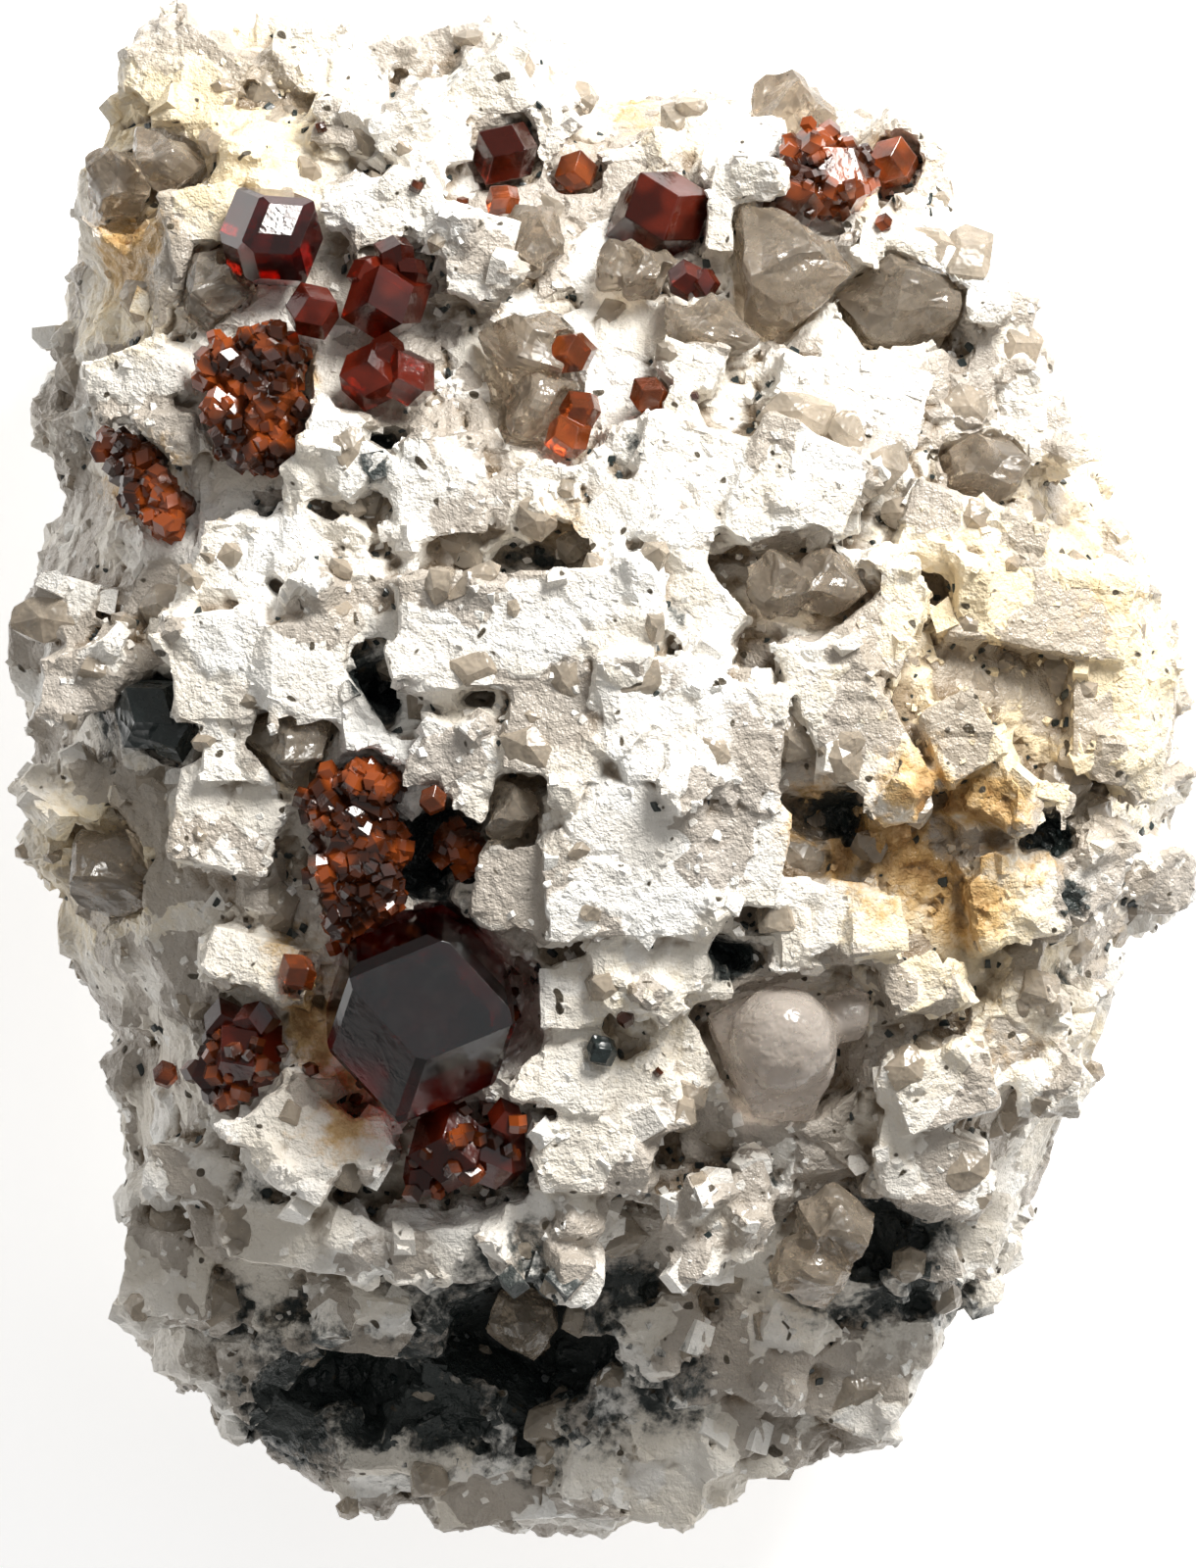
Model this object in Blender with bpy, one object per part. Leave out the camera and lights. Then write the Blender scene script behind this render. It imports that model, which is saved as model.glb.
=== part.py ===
"""Garnets in matrix: dark red garnets and smoky quartz on a loose block of white feldspar.

The specimen lies on its flat broken back with the display face up. +Z is up, +Y is the top of
the display face, +X its right side, and the origin is on the flat back, under the middle.
"""

import itertools
import math
import random
from collections import namedtuple

import bmesh
import bpy
from mathutils import Euler, Matrix, Vector, noise

# Driving dimensions, in millimetres. Everything below is worked out from these.
MM = 0.001
RIM_HEIGHT = 15.0  # height of the widest outline above the flat back
UNDERCUT = 3.0  # how far the rounded back would dip below the flat break
GAP = 0.3  # clear space between a crystal and the pocket it stands in
CORE_LUMPS = 0.9  # height of the broad lumps on the bare rock; the small ones are half as high
LUMP_TURNS = (0.19, 0.43)  # broad and small lumps to a millimetre of its surface
LUMP_SEED = 1
BROKEN_CORNER = 3.2  # a block wider than this has one of its corners broken off
CUP_SIDES = 7  # walls of the pocket round a cluster
CUP_TAPER = 0.45  # how much those walls lean in below
CORE_SIDES = 36  # points round the bare rock's outline
CORE_RINGS = 8  # rows of facets from its back to its face
GRAIN_FACES = 10  # facets of a rounded grain
EDGED_GARNET = 2.0  # a garnet from this radius up also has faces along its edges
BACK_SLAB = (120.0, 30.0)  # width and thickness of the block that cuts the back flat
PIT_MOUTH = 1.0  # how far above the bare rock the middle of a pit lies
SUNK = 2.5  # how much deeper than wide a block of the display face goes into the rock

# Rows of feldspar crystals round the sides: height, how many, and how far in from the outline.
FLANK_ROWS = [(7.0, 8, 4.2), (15.0, 16, 2.6), (22.0, 9, 4.0)]
FLANK_SIZES = (3.6, 6.4)  # the smallest and largest side of such a crystal
FLANK_LEAN = 25  # the most that it leans, in degrees
FLANK_SEED = 11

# The outline of the specimen seen from above, from the top left corner clockwise.
OUTLINE = [
    (-21.8, 39.0), (-18.8, 38.5), (-15.5, 39.3), (-10.5, 38.3), (-7.5, 38.8), (-4.3, 38.0),
    (-1.3, 35.3), (2.5, 34.2), (6.0, 34.8), (9.5, 36.2), (13.5, 35.2), (16.3, 32.4),
    (18.5, 29.6), (21.2, 24.6), (23.3, 21.8), (23.8, 18.0), (26.0, 14.8), (28.3, 11.4),
    (29.8, 7.0), (29.8, 3.0), (29.0, -1.5), (28.2, -5.0), (26.6, -9.2), (24.4, -14.5),
    (22.8, -18.5), (22.2, -21.7), (19.6, -25.2), (17.2, -26.6), (15.8, -31.8), (12.8, -33.8),
    (10.5, -35.0), (7.0, -35.2), (4.5, -37.0), (1.3, -39.2), (-1.0, -38.0), (-4.5, -38.0),
    (-8.5, -37.4), (-9.8, -35.7), (-12.5, -36.2), (-15.5, -35.3), (-18.8, -32.5), (-20.3, -30.0),
    (-22.9, -28.0), (-23.6, -22.5), (-24.2, -18.5), (-23.5, -15.0), (-25.3, -11.0), (-27.6, -8.7),
    (-27.6, -4.0), (-28.1, -1.0), (-27.5, 2.0), (-29.6, 6.5), (-29.0, 9.8), (-27.4, 12.8),
    (-26.8, 18.0), (-27.4, 21.0), (-26.6, 24.5), (-26.0, 31.0), (-24.0, 35.3),
]

# Height of the display face along the specimen: (y, z) from the bottom end to the top end.
FACE_PROFILE = [
    (-40.0, 15.0), (-35.0, 19.0), (-30.0, 21.0), (-27.0, 24.0), (-24.0, 30.0), (-18.0, 32.5),
    (-8.0, 34.0), (2.0, 34.5), (10.0, 33.5), (18.0, 33.0), (26.0, 32.5), (33.0, 28.5), (40.0, 18.0),
]

# A feldspar crystal of the display face. The lean turns its top face towards +X and +Y, in
# degrees, and proud is how far that face stands above the bare rock.
Block = namedtuple("Block", "x y wide long spin lean_x lean_y proud", defaults=(0, 0, 0, 1.2))

TOP_END_BLOCKS = [
    Block(-20.4, 35.6, 5.6, 4.6, -28, -10, 6, 1.4),
    Block(-13.6, 35.8, 6.4, 3.4, -6, 0, 12, 1.4),
    Block(-7.6, 36.2, 5.4, 3.0, 8, 4, 10, 1.6),
    Block(-8.5, 32.3, 3.8, 3.6, 20, 6, 8, 1.6),
    Block(-12.2, 32.8, 4.4, 3.2, -12, -4, 6, 1.3),
    Block(-3.8, 33.0, 2.8, 3.4, -38, 10, 4, 1.5),
    Block(2.4, 30.6, 4.2, 3.2, 12, 0, 10, 1.2),
    Block(7.0, 32.0, 4.8, 3.0, -8, 0, 14, 1.0),
    Block(15.0, 31.6, 3.6, 3.8, -35, 16, 6, 1.6),
]
UPPER_LEFT_BLOCKS = [
    Block(-19.6, 28.0, 3.4, 4.2, 14, -8, 0, 1.0),
    Block(-6.4, 26.2, 3.8, 4.4, -14, 4, 6, 1.6),
    Block(-10.4, 28.4, 4.8, 3.4, 18, 0, 8, 1.5),
    Block(-22.3, 20.4, 4.8, 3.6, 24, -12, 4, 1.9),
    Block(-21.0, 17.8, 4.6, 2.4, 8, -8, -4, 1.2),
    Block(-13.2, 16.8, 3.6, 5.2, -17, 4, -6, 1.8),
    Block(-8.0, 15.0, 4.8, 4.6, 6, 2, -4, 1.9),
    Block(0.4, 16.0, 4.0, 3.6, 18, 0, 0, 1.6),
    Block(7.1, 28.6, 3.2, 4.6, -8, -4, 4, 1.7),
    Block(3.9, 18.5, 2.2, 2.4, 30, 0, 4, 1.8),
    Block(4.6, 20.6, 3.2, 2.4, -20, 0, 6, 1.4),
    Block(-2.8, 13.8, 4.8, 4.6, 12, 0, -6, 1.2),
]
LEFT_BLOCKS = [
    Block(-17.9, 10.7, 3.5, 4.2, -8, -6, 8, 2.0),
    Block(-14.7, 11.3, 3.8, 3.8, -26, 4, 8, 1.3),
    Block(-12.8, 8.7, 4.0, 3.8, 26, 8, 4, 1.7),
    Block(-18.8, 5.4, 4.2, 5.6, 2, -5, 2, 2.3),
    Block(-14.4, 5.4, 4.6, 4.8, 7, 3, 2, 2.1),
    Block(-17.8, 1.2, 4.4, 3.2, -6, 0, 6, 1.7),
    Block(-11.9, 2.6, 2.9, 4.6, 8, 6, 0, 1.8),
    Block(-18.4, -2.4, 5.0, 4.6, -14, -4, 4, 1.4),
    Block(-25.2, 5.6, 4.4, 3.2, 12, -14, 0, 1.8),
    Block(-26.2, 8.6, 3.4, 3.2, -20, -18, 0, 1.4),
    Block(-25.6, -0.8, 3.4, 3.2, -16, -20, 6, 1.3),
    Block(-16.7, -9.5, 5.8, 3.2, -14, -6, 8, 1.6),
    Block(-14.9, -17.6, 5.8, 4.6, -38, -4, 4, 1.9),
    Block(-20.2, -19.6, 4.4, 2.4, -8, -10, 0, 1.7),
    Block(-15.2, -22.2, 6.8, 2.8, -4, -4, -12, 1.6),
    Block(-11.2, -18.0, 2.2, 2.8, 10, 0, 0, 1.4),
]
MIDDLE_BLOCKS = [
    Block(-3.6, 7.5, 12.6, 5.0, 1, 0, 4, 4.2),
    Block(-1.7, 2.9, 5.4, 5.2, -6, -2, 2, 3.7),
    Block(3.3, 3.4, 5.2, 6.2, 4, 2, 0, 4.2),
    Block(7.0, 1.9, 3.6, 6.2, -8, 7, -2, 3.4),
    Block(0.9, -0.6, 5.4, 3.4, 10, 0, -3, 3.9),
    Block(-7.0, 0.4, 5.2, 5.2, 5, -4, -2, 2.8),
    Block(1.6, -3.4, 8.8, 7.4, 4, 0, -5, 3.7),
    Block(6.6, -2.9, 4.6, 5.4, -12, 6, -6, 3.1),
    Block(-3.0, -4.7, 5.6, 3.8, -8, -4, -8, 2.7),
    Block(3.6, -7.6, 7.4, 5.0, 8, 0, -8, 2.0),
    Block(4.9, 14.9, 6.4, 5.4, -12, -3, 6, 2.8),
    Block(9.6, 13.9, 5.6, 6.6, -24, 3, 5, 3.6),
    Block(3.4, 10.6, 10.0, 3.0, -44, -4, -3, 2.9),
    Block(12.4, 3.6, 10.0, 4.2, -63, 4, 0, 2.9),
    Block(17.8, 2.3, 3.8, 3.6, 26, 6, 0, 2.6),
    Block(12.4, 8.4, 6.4, 5.2, -24, 4, 6, 2.5),
    Block(-2.3, -10.9, 4.4, 3.4, 10, 0, 2, 1.6),
    Block(-1.6, -14.2, 4.4, 3.6, -12, 0, 0, 1.6),
    Block(-0.4, -18.5, 5.8, 4.0, 2, 0, -4, 1.9),
    Block(2.2, -15.8, 3.8, 3.8, 20, 0, 0, 1.3),
]
RIGHT_BLOCKS = [
    Block(12.2, 18.9, 7.6, 4.0, -12, 2, 8, 1.7),
    Block(15.9, 25.6, 8.2, 2.8, -24, 8, 10, 2.1),
    Block(19.3, 22.2, 3.0, 5.6, -14, 14, 6, 1.8),
    Block(21.2, 17.9, 4.4, 3.8, 10, 14, 6, 1.5),
    Block(18.2, 12.6, 7.2, 3.6, -16, 8, 4, 1.7),
    Block(21.8, 8.8, 8.6, 4.6, -8, 10, 4, 2.0),
    Block(24.8, 4.6, 3.8, 7.4, 4, 16, 0, 1.9),
    Block(20.6, -1.0, 5.0, 3.2, -24, 8, 4, 2.2),
    Block(23.8, -4.2, 3.4, 5.0, -18, 18, 0, 1.4),
    Block(20.4, -5.5, 4.2, 4.4, 12, 8, -2, 2.0),
    Block(11.4, -6.5, 5.4, 3.6, 8, 0, 2, 1.9),
    Block(15.6, -10.2, 3.2, 2.6, 14, 4, 2, 1.7),
    Block(20.2, -12.4, 5.2, 4.4, -8, 12, -2, 1.6),
    Block(17.0, -15.2, 5.4, 3.8, 16, 8, -6, 2.0),
    Block(16.6, -19.0, 5.6, 3.8, -14, 6, -8, 1.9),
    Block(6.2, -21.4, 4.6, 4.2, 18, 0, -10, 2.0),
]
BOTTOM_END_BLOCKS = [
    Block(-7.8, -23.0, 5.6, 3.0, 4, 0, -16, 1.7),
    Block(-2.4, -22.0, 5.0, 3.2, -8, 0, -14, 1.8),
    Block(18.2, -22.8, 3.4, 2.8, -10, 8, -12, 1.6),
    Block(1.4, -34.6, 8.8, 4.8, -6, 0, -14, 1.7),
    Block(-4.6, -35.2, 8.2, 3.4, 6, 0, -14, 1.4),
    Block(4.6, -31.4, 6.6, 4.6, 10, 0, -8, 2.0),
    Block(8.4, -28.8, 5.8, 4.4, -12, 0, -6, 1.9),
    Block(13.0, -29.0, 4.8, 6.2, -28, 12, -8, 1.6),
    Block(-16.0, -28.8, 5.4, 3.6, 12, -8, -10, 1.6),
    Block(-20.8, -24.6, 4.6, 4.8, -8, -18, -4, 1.5),
    Block(-12.0, -26.4, 4.4, 3.0, -10, 0, -18, 1.6),
    Block(-8.6, -33.8, 3.6, 4.0, 24, 0, -12, 1.6),
    Block(3.2, -27.2, 4.2, 3.4, 18, 0, -14, 1.6),
    Block(-0.2, -31.6, 4.4, 3.8, -22, 0, -10, 1.4),
    Block(9.4, -33.0, 4.6, 3.4, 6, 4, -12, 1.6),
]
FACE_BLOCKS = (
    TOP_END_BLOCKS + UPPER_LEFT_BLOCKS + LEFT_BLOCKS + MIDDLE_BLOCKS + RIGHT_BLOCKS + BOTTOM_END_BLOCKS
)

# A pit between crystals: its middle, its two widths, the turn of the longer one, and its depth.
Pit = namedtuple("Pit", "x y wide long spin depth")

PITS = [
    Pit(-8.4, -3.4, 4.0, 5.4, 14, 6.5),  # the black hollow beside the garnet druse
    Pit(-10.6, 4.8, 2.4, 2.8, 20, 5.0),
    Pit(-10.9, 16.4, 1.8, 3.2, -14, 4.0),
    Pit(-3.6, 11.3, 7.6, 1.7, 6, 3.8),  # the shadowed furrow above the middle block
    Pit(12.2, -1.8, 6.0, 2.8, -8, 4.2),  # the stained hollow
    Pit(17.4, -3.0, 3.4, 2.2, 20, 3.4),
    Pit(22.2, -2.7, 2.2, 3.6, -24, 4.0),
    Pit(6.3, -8.9, 2.2, 2.6, -20, 4.0),
    Pit(-3.6, -28.6, 12.0, 5.0, -4, 7.0),  # the undercut of the bottom end
    Pit(-13.4, -30.8, 8.6, 2.6, 4, 4.0),
    Pit(13.4, -23.6, 4.6, 4.4, 16, 6.0),
]

# One garnet: its middle, the distance from there to its faces, and its turn in degrees.
Garnet = namedtuple("Garnet", "x y radius turn proud")

GARNETS = {
    "large_garnet": [
        Garnet(-8.8, -11.2, 4.4, (75, -48, -71), 4.6),
        Garnet(-4.4, -10.6, 0.7, (30, 10, 50), 1.0),
    ],
    "upper_left_garnet": [Garnet(-16.4, 27.5, 2.3, (80, -26, 39), 3.0)],
    "upper_left_small_garnet": [Garnet(-14.3, 23.7, 1.1, (10, 50, 30), 1.7)],
    "twin_garnets": [
        Garnet(-10.6, 24.2, 1.65, (40, 12, 20), 2.0),
        Garnet(-10.2, 26.5, 0.85, (0, 30, 60), 1.7),
        Garnet(-11.5, 25.6, 0.8, (50, 0, 10), 1.5),
        Garnet(-9.4, 25.6, 0.75, (15, 15, 45), 1.5),
    ],
    "lower_twin_garnets": [
        Garnet(-11.4, 20.4, 1.3, (12, 40, 0), 1.9),
        Garnet(-9.5, 20.3, 1.15, (35, 15, 30), 1.7),
        Garnet(-10.6, 21.6, 0.8, (20, 60, 10), 1.5),
    ],
    "top_garnet": [Garnet(-4.7, 31.9, 1.35, (25, 20, 60), 1.9)],
    "top_orange_garnet": [Garnet(-1.1, 31.0, 0.95, (45, 30, 15), 1.6)],
    "amber_garnet": [Garnet(-4.8, 29.4, 0.75, (10, 20, 45), 1.2)],
    "upper_right_garnet": [Garnet(3.1, 28.7, 1.9, (82, -29, 114), 2.4)],
    "small_red_garnet": [
        Garnet(4.4, 25.3, 0.85, (20, 45, 20), 1.4),
        Garnet(5.3, 25.1, 0.65, (40, 10, 0), 1.2),
    ],
    "ledge_garnet": [Garnet(2.6, 19.4, 0.8, (15, 35, 50), 1.7)],
    "quartz_side_garnet": [Garnet(-1.3, 21.6, 1.0, (50, 20, 10), 1.4)],
    "quartz_foot_garnet": [
        Garnet(-0.9, 18.7, 0.9, (20, 30, 40), 1.3),
        Garnet(-1.5, 17.4, 0.95, (30, 0, 20), 1.3),
    ],
    "top_right_garnets": [
        Garnet(9.9, 29.8, 1.3, (10, 30, 20), 1.9),
        Garnet(12.0, 30.6, 1.7, (35, 20, 50), 2.2),
        Garnet(10.9, 31.9, 1.15, (0, 45, 10), 2.0),
    ],
    "corner_garnet": [Garnet(15.0, 31.6, 1.1, (30, 30, 0), 2.3)],
    "upper_left_druse": [
        Garnet(-18.5, 21.0, 1.3, (20, 10, 30), 1.4),
        Garnet(-16.5, 21.3, 1.35, (40, 30, 10), 1.3),
        Garnet(-18.3, 18.9, 1.2, (30, 20, 0), 1.5),
        Garnet(-16.3, 19.0, 1.3, (0, 15, 45), 1.6),
        Garnet(-18.2, 17.2, 0.95, (45, 0, 30), 1.3),
        Garnet(-16.6, 17.0, 1.15, (15, 25, 15), 1.4),
    ],
    "far_left_druse": [
        Garnet(-24.1, 16.9, 0.9, (20, 40, 0), 1.3),
        Garnet(-23.3, 15.9, 1.15, (35, 10, 25), 1.7),
        Garnet(-22.5, 14.8, 1.1, (0, 30, 50), 1.6),
        Garnet(-21.9, 13.7, 1.0, (50, 20, 10), 1.4),
    ],
    "middle_druse": [
        Garnet(-13.2, -0.9, 1.25, (20, 30, 10), 1.7),
        Garnet(-11.5, -0.6, 1.3, (40, 0, 30), 1.9),
        Garnet(-12.6, -2.6, 1.35, (30, 15, 50), 2.1),
        Garnet(-11.2, -3.2, 1.35, (0, 25, 35), 2.0),
        Garnet(-13.0, -4.6, 1.15, (45, 10, 0), 1.6),
        Garnet(-11.3, -5.2, 1.25, (25, 50, 15), 1.6),
        Garnet(-12.5, -6.4, 0.9, (35, 35, 5), 1.3),
    ],
    "hollow_garnets": [
        Garnet(-7.3, -2.9, 0.85, (20, 20, 30), 0.2),
        Garnet(-6.4, -3.5, 0.85, (45, 10, 0), -0.2),
    ],
    "block_garnet": [Garnet(-8.2, -0.8, 0.62, (30, 40, 10), 3.2)],
    "left_orange_garnet": [Garnet(-15.0, -9.4, 0.8, (15, 30, 45), 2.3)],
    "left_cluster": [
        Garnet(-18.7, -12.1, 0.95, (10, 40, 20), 1.6),
        Garnet(-17.1, -11.9, 0.85, (35, 15, 0), 1.7),
        Garnet(-17.6, -13.6, 1.5, (20, 0, 40), 2.2),
        Garnet(-19.2, -14.5, 1.05, (50, 30, 10), 1.8),
        Garnet(-18.2, -15.0, 1.0, (0, 20, 60), 1.7),
    ],
    "far_left_garnet": [Garnet(-21.9, -14.7, 0.6, (25, 45, 30), 1.2)],
    "lower_cluster": [
        Garnet(-7.4, -18.2, 1.7, (25, 30, 10), 2.1),
        Garnet(-5.2, -18.6, 1.45, (40, 10, 35), 1.7),
        Garnet(-4.6, -16.9, 0.85, (10, 50, 20), 2.0),
        Garnet(-8.7, -19.6, 0.95, (0, 25, 45), 1.3),
    ],
}

BLACK_CRYSTALS = {
    "black_crystal": [Garnet(0.2, -13.3, 0.65, (20, 30, 40), 2.3)],
    "black_grain": [
        Garnet(-22.4, 3.5, 1.5, (30, 10, 50), 1.2),
        Garnet(-21.4, 2.6, 1.1, (0, 40, 20), 1.0),
    ],
}

# One grain of quartz: its middle, its two widths, its spin, and how far it stands proud.
Quartz = namedtuple("Quartz", "x y wide long spin proud")

QUARTZ = {
    "large_smoky_quartz": [Quartz(9.4, 25.7, 4.9, 6.0, -18, 1.8)],
    "wedge_quartz": [Quartz(15.5, 24.1, 6.2, 4.2, 16, 1.6)],
    "garnet_foot_quartz": [Quartz(2.3, 25.8, 2.7, 2.9, 10, 1.5), Quartz(0.8, 26.1, 1.8, 2.6, 4, 1.1)],
    "pillar_quartz": [Quartz(-3.5, 21.8, 4.2, 3.6, 12, 1.9), Quartz(-2.8, 19.0, 3.3, 3.2, -10, 1.7)],
    "upper_left_quartz": [Quartz(-19.3, 25.0, 2.7, 4.3, -22, 1.3)],
    "clear_quartz": [Quartz(-3.4, 27.2, 2.6, 3.8, -14, 1.2)],
    "striated_quartz": [Quartz(5.6, 22.8, 4.6, 2.6, -14, 1.6)],
    "right_quartz": [Quartz(19.4, 16.0, 4.4, 2.8, 6, 1.7)],
    "ridge_quartz": [Quartz(9.0, 9.9, 2.8, 2.8, 10, 3.9), Quartz(11.4, 9.9, 3.6, 2.6, -18, 3.7)],
    "rose_quartz_grain": [Quartz(9.1, -13.4, 5.8, 6.2, 12, 3.0), Quartz(12.4, -11.6, 2.4, 2.6, 30, 2.0)],
    "lower_quartz": [Quartz(11.9, -22.2, 3.6, 3.6, 10, 2.5), Quartz(10.8, -24.4, 4.2, 3.2, -10, 2.9)],
    "drop_quartz": [Quartz(-3.8, -27.4, 3.2, 3.4, 38, 1.4)],
    "top_left_quartz": [Quartz(-24.4, 30.6, 3.4, 3.4, 10, 1.6), Quartz(-22.0, 31.6, 3.4, 2.6, -20, 1.5)],
    "top_quartz": [Quartz(9.8, 34.2, 4.4, 3.4, -10, 2.4)],
    "left_quartz": [Quartz(-15.4, 1.8, 3.0, 4.0, 16, 1.9)],
    "far_left_quartz": [Quartz(-24.4, -4.4, 4.8, 4.2, -24, 1.5)],
    "dark_quartz": [Quartz(-4.3, -1.4, 2.2, 2.8, -10, 3.4)],
}

GARNET_RED = (0.16, 0.012, 0.010, 1)
QUARTZ_GREY = (0.42, 0.37, 0.32, 1)
FELDSPAR_WHITE = (0.86, 0.84, 0.80, 1)
CRYSTAL_BLACK = (0.02, 0.025, 0.025, 1)


def clear_scene():
    for obj in list(bpy.data.objects):
        bpy.data.objects.remove(obj)


def new_collection(name, parent=None):
    collection = bpy.data.collections.new(name)
    (parent or bpy.context.scene.collection).children.link(collection)
    return collection


def material(name, colour, roughness, transmission=0.0):
    made = bpy.data.materials.new(name)
    made.use_nodes = True
    shader = made.node_tree.nodes["Principled BSDF"]
    shader.inputs["Base Color"].default_value = colour
    shader.inputs["Roughness"].default_value = roughness
    shader.inputs["Metallic"].default_value = 0.0
    shader.inputs["Transmission Weight"].default_value = transmission
    return made


# The rock's form: an outline that every height shares, and a height for each point in it.
OUTLINE_TURNS = sorted((math.atan2(y, x), math.hypot(x, y)) for x, y in OUTLINE)


def between(value, knots):
    """The value read from a list of (position, value) knots, straight between two of them."""
    for (low, a), (high, b) in zip(knots, knots[1:]):
        if value <= high:
            return a + (b - a) * max(0.0, value - low) / (high - low)
    return knots[-1][1]


def reach(angle):
    """How far the outline lies from the middle, in the direction of an angle."""
    first, last = OUTLINE_TURNS[0], OUTLINE_TURNS[-1]
    ring = [(last[0] - math.tau, last[1])] + OUTLINE_TURNS + [(first[0] + math.tau, first[1])]
    return between(angle, ring)


def face_height(x, y):
    """Height of the bare rock's display face at a point, in millimetres."""
    share = min(1.0, math.hypot(x, y) / reach(math.atan2(y, x)))
    return RIM_HEIGHT + (between(y, FACE_PROFILE) - RIM_HEIGHT) * math.sqrt(1 - share**4)


def rock_point(direction):
    """Where a point of the unit sphere goes on the bare rock, in millimetres."""
    flat = math.hypot(direction.x, direction.y)
    angle = math.atan2(direction.y, direction.x)
    squareness = (flat**4 + direction.z**4) ** 0.25
    share, rise = flat / squareness, (direction.z / squareness) ** 2
    across = share * reach(angle)
    x, y = across * math.cos(angle), across * math.sin(angle)
    level = between(y, FACE_PROFILE) if direction.z > 0 else -UNDERCUT
    point = Vector((x, y, RIM_HEIGHT + (level - RIM_HEIGHT) * rise))
    broad, small = (noise.noise_vector(point * turns) for turns in LUMP_TURNS)
    lumps = broad + small * 0.5
    return point + lumps * CORE_LUMPS


def rock_core():
    """The bare rock, before crystals stand on it and pits are cut."""
    noise.seed_set(LUMP_SEED)
    bm = bmesh.new()
    bmesh.ops.create_uvsphere(bm, u_segments=CORE_SIDES, v_segments=CORE_RINGS, radius=1.0)
    for vert in bm.verts:
        vert.co = rock_point(vert.co) * MM
    return bm


def cut_crystal(planes):
    """A crystal with flat faces: a cube cut by planes, each a direction and a distance in mm."""
    bm = bmesh.new()
    bmesh.ops.create_cube(bm, size=4 * MM * max(distance for _, distance in planes))
    for direction, distance in planes:
        normal = Vector(direction).normalized()
        cut = bmesh.ops.bisect_plane(
            bm,
            geom=bm.verts[:] + bm.edges[:] + bm.faces[:],
            dist=1e-8,
            plane_co=normal * distance * MM,
            plane_no=normal,
            clear_outer=True,
        )
        rim = [part for part in cut["geom_cut"] if isinstance(part, bmesh.types.BMEdge)]
        if rim:
            bmesh.ops.contextual_create(bm, geom=rim)
    bmesh.ops.recalc_face_normals(bm, faces=bm.faces[:])
    return bm


def small_garnet(radius, grow, chance):
    """Twelve rhombic faces: the hull of a cube's corners and six points out over its sides."""
    corner = (radius + grow) / math.sqrt(2)
    stretch = [chance.uniform(0.92, 1.1) for _ in range(3)]
    points = [Vector(signs) for signs in itertools.product((-1, 1), repeat=3)]
    points += [Matrix.Scale(side, 3).row[axis] * 2 for axis in range(3) for side in (-1, 1)]
    bm = bmesh.new()
    for point in points:
        bm.verts.new(Vector(a * b for a, b in zip(point, stretch)) * corner * MM)
    bmesh.ops.convex_hull(bm, input=bm.verts[:])
    bmesh.ops.recalc_face_normals(bm, faces=bm.faces[:])
    return bm


def large_garnet(radius, grow, chance):
    """Twelve rhombic faces of uneven size, with narrow faces cut along their edges."""
    planes = []
    for i in range(3):
        for a, b in itertools.product((-1, 1), repeat=2):
            rhomb = [0, 0, 0]
            rhomb[i - 1], rhomb[i - 2] = a, b
            planes.append((rhomb, radius * chance.uniform(0.95, 1.05) + grow))
            for c in (-1, 1):
                edge = [a, b, c]
                edge[i] *= 2
                planes.append((edge, radius * chance.uniform(1.05, 1.10) + grow))
    return cut_crystal(planes)


def block_planes(wide, long, deep, grow, chance):
    """A feldspar block: three pairs of nearly square faces, and a corner broken off."""
    half = Vector((wide, long, deep)) / 2
    planes = []
    for axis in range(3):
        for side in (-1, 1):
            direction = Vector([chance.uniform(-0.09, 0.09) for _ in range(3)])
            direction[axis] = side
            planes.append((direction, half[axis] + grow))
    for _ in range(min(wide, long) > BROKEN_CORNER):
        corner = Vector([chance.choice((-1, 1)) * chance.uniform(0.45, 1) for _ in range(3)])
        corner.normalize()
        support = sum(abs(corner[axis]) * half[axis] for axis in range(3))
        planes.append((corner, support * chance.uniform(0.74, 0.88) + grow))
    return planes


def grain_planes(wide, long, deep, grow, chance, count=GRAIN_FACES):
    """A rounded grain: faces turned all ways, spread evenly by the golden angle."""
    planes = []
    for i in range(count):
        z = 1 - (2 * i + 1) / count
        angle = i * math.pi * (3 - math.sqrt(5)) + chance.uniform(-0.25, 0.25)
        flat = math.sqrt(1 - z * z)
        way = Vector((flat * math.cos(angle), flat * math.sin(angle), z + chance.uniform(-0.1, 0.1)))
        way.normalize()
        support = math.sqrt((way.x * wide) ** 2 + (way.y * long) ** 2 + (way.z * deep) ** 2) / 2
        planes.append((way, support * chance.uniform(0.84, 0.97) + grow))
    return planes


def mesh_object(name, bm, collection, place=None, finish=None):
    mesh = bpy.data.meshes.new(name)
    bm.to_mesh(mesh)
    bm.free()
    obj = bpy.data.objects.new(name, mesh)
    if place is not None:
        obj.matrix_world = place
    if finish is not None:
        mesh.materials.append(finish)
    collection.objects.link(obj)
    return obj


def as_helper(obj):
    obj.hide_render = True
    obj.display_type = "WIRE"
    return obj


def placed(x, y, z, turn):
    """A location in millimetres and a turn in degrees, as a matrix in metres."""
    angles = Euler([math.radians(value) for value in turn])
    return Matrix.Translation(Vector((x, y, z)) * MM) @ angles.to_matrix().to_4x4()


def boolean(obj, name, operation, collection):
    modifier = obj.modifiers.new(name, "BOOLEAN")
    modifier.operation = operation
    modifier.operand_type = "COLLECTION"
    modifier.collection = collection
    modifier.solver = "EXACT"
    return modifier


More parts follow.
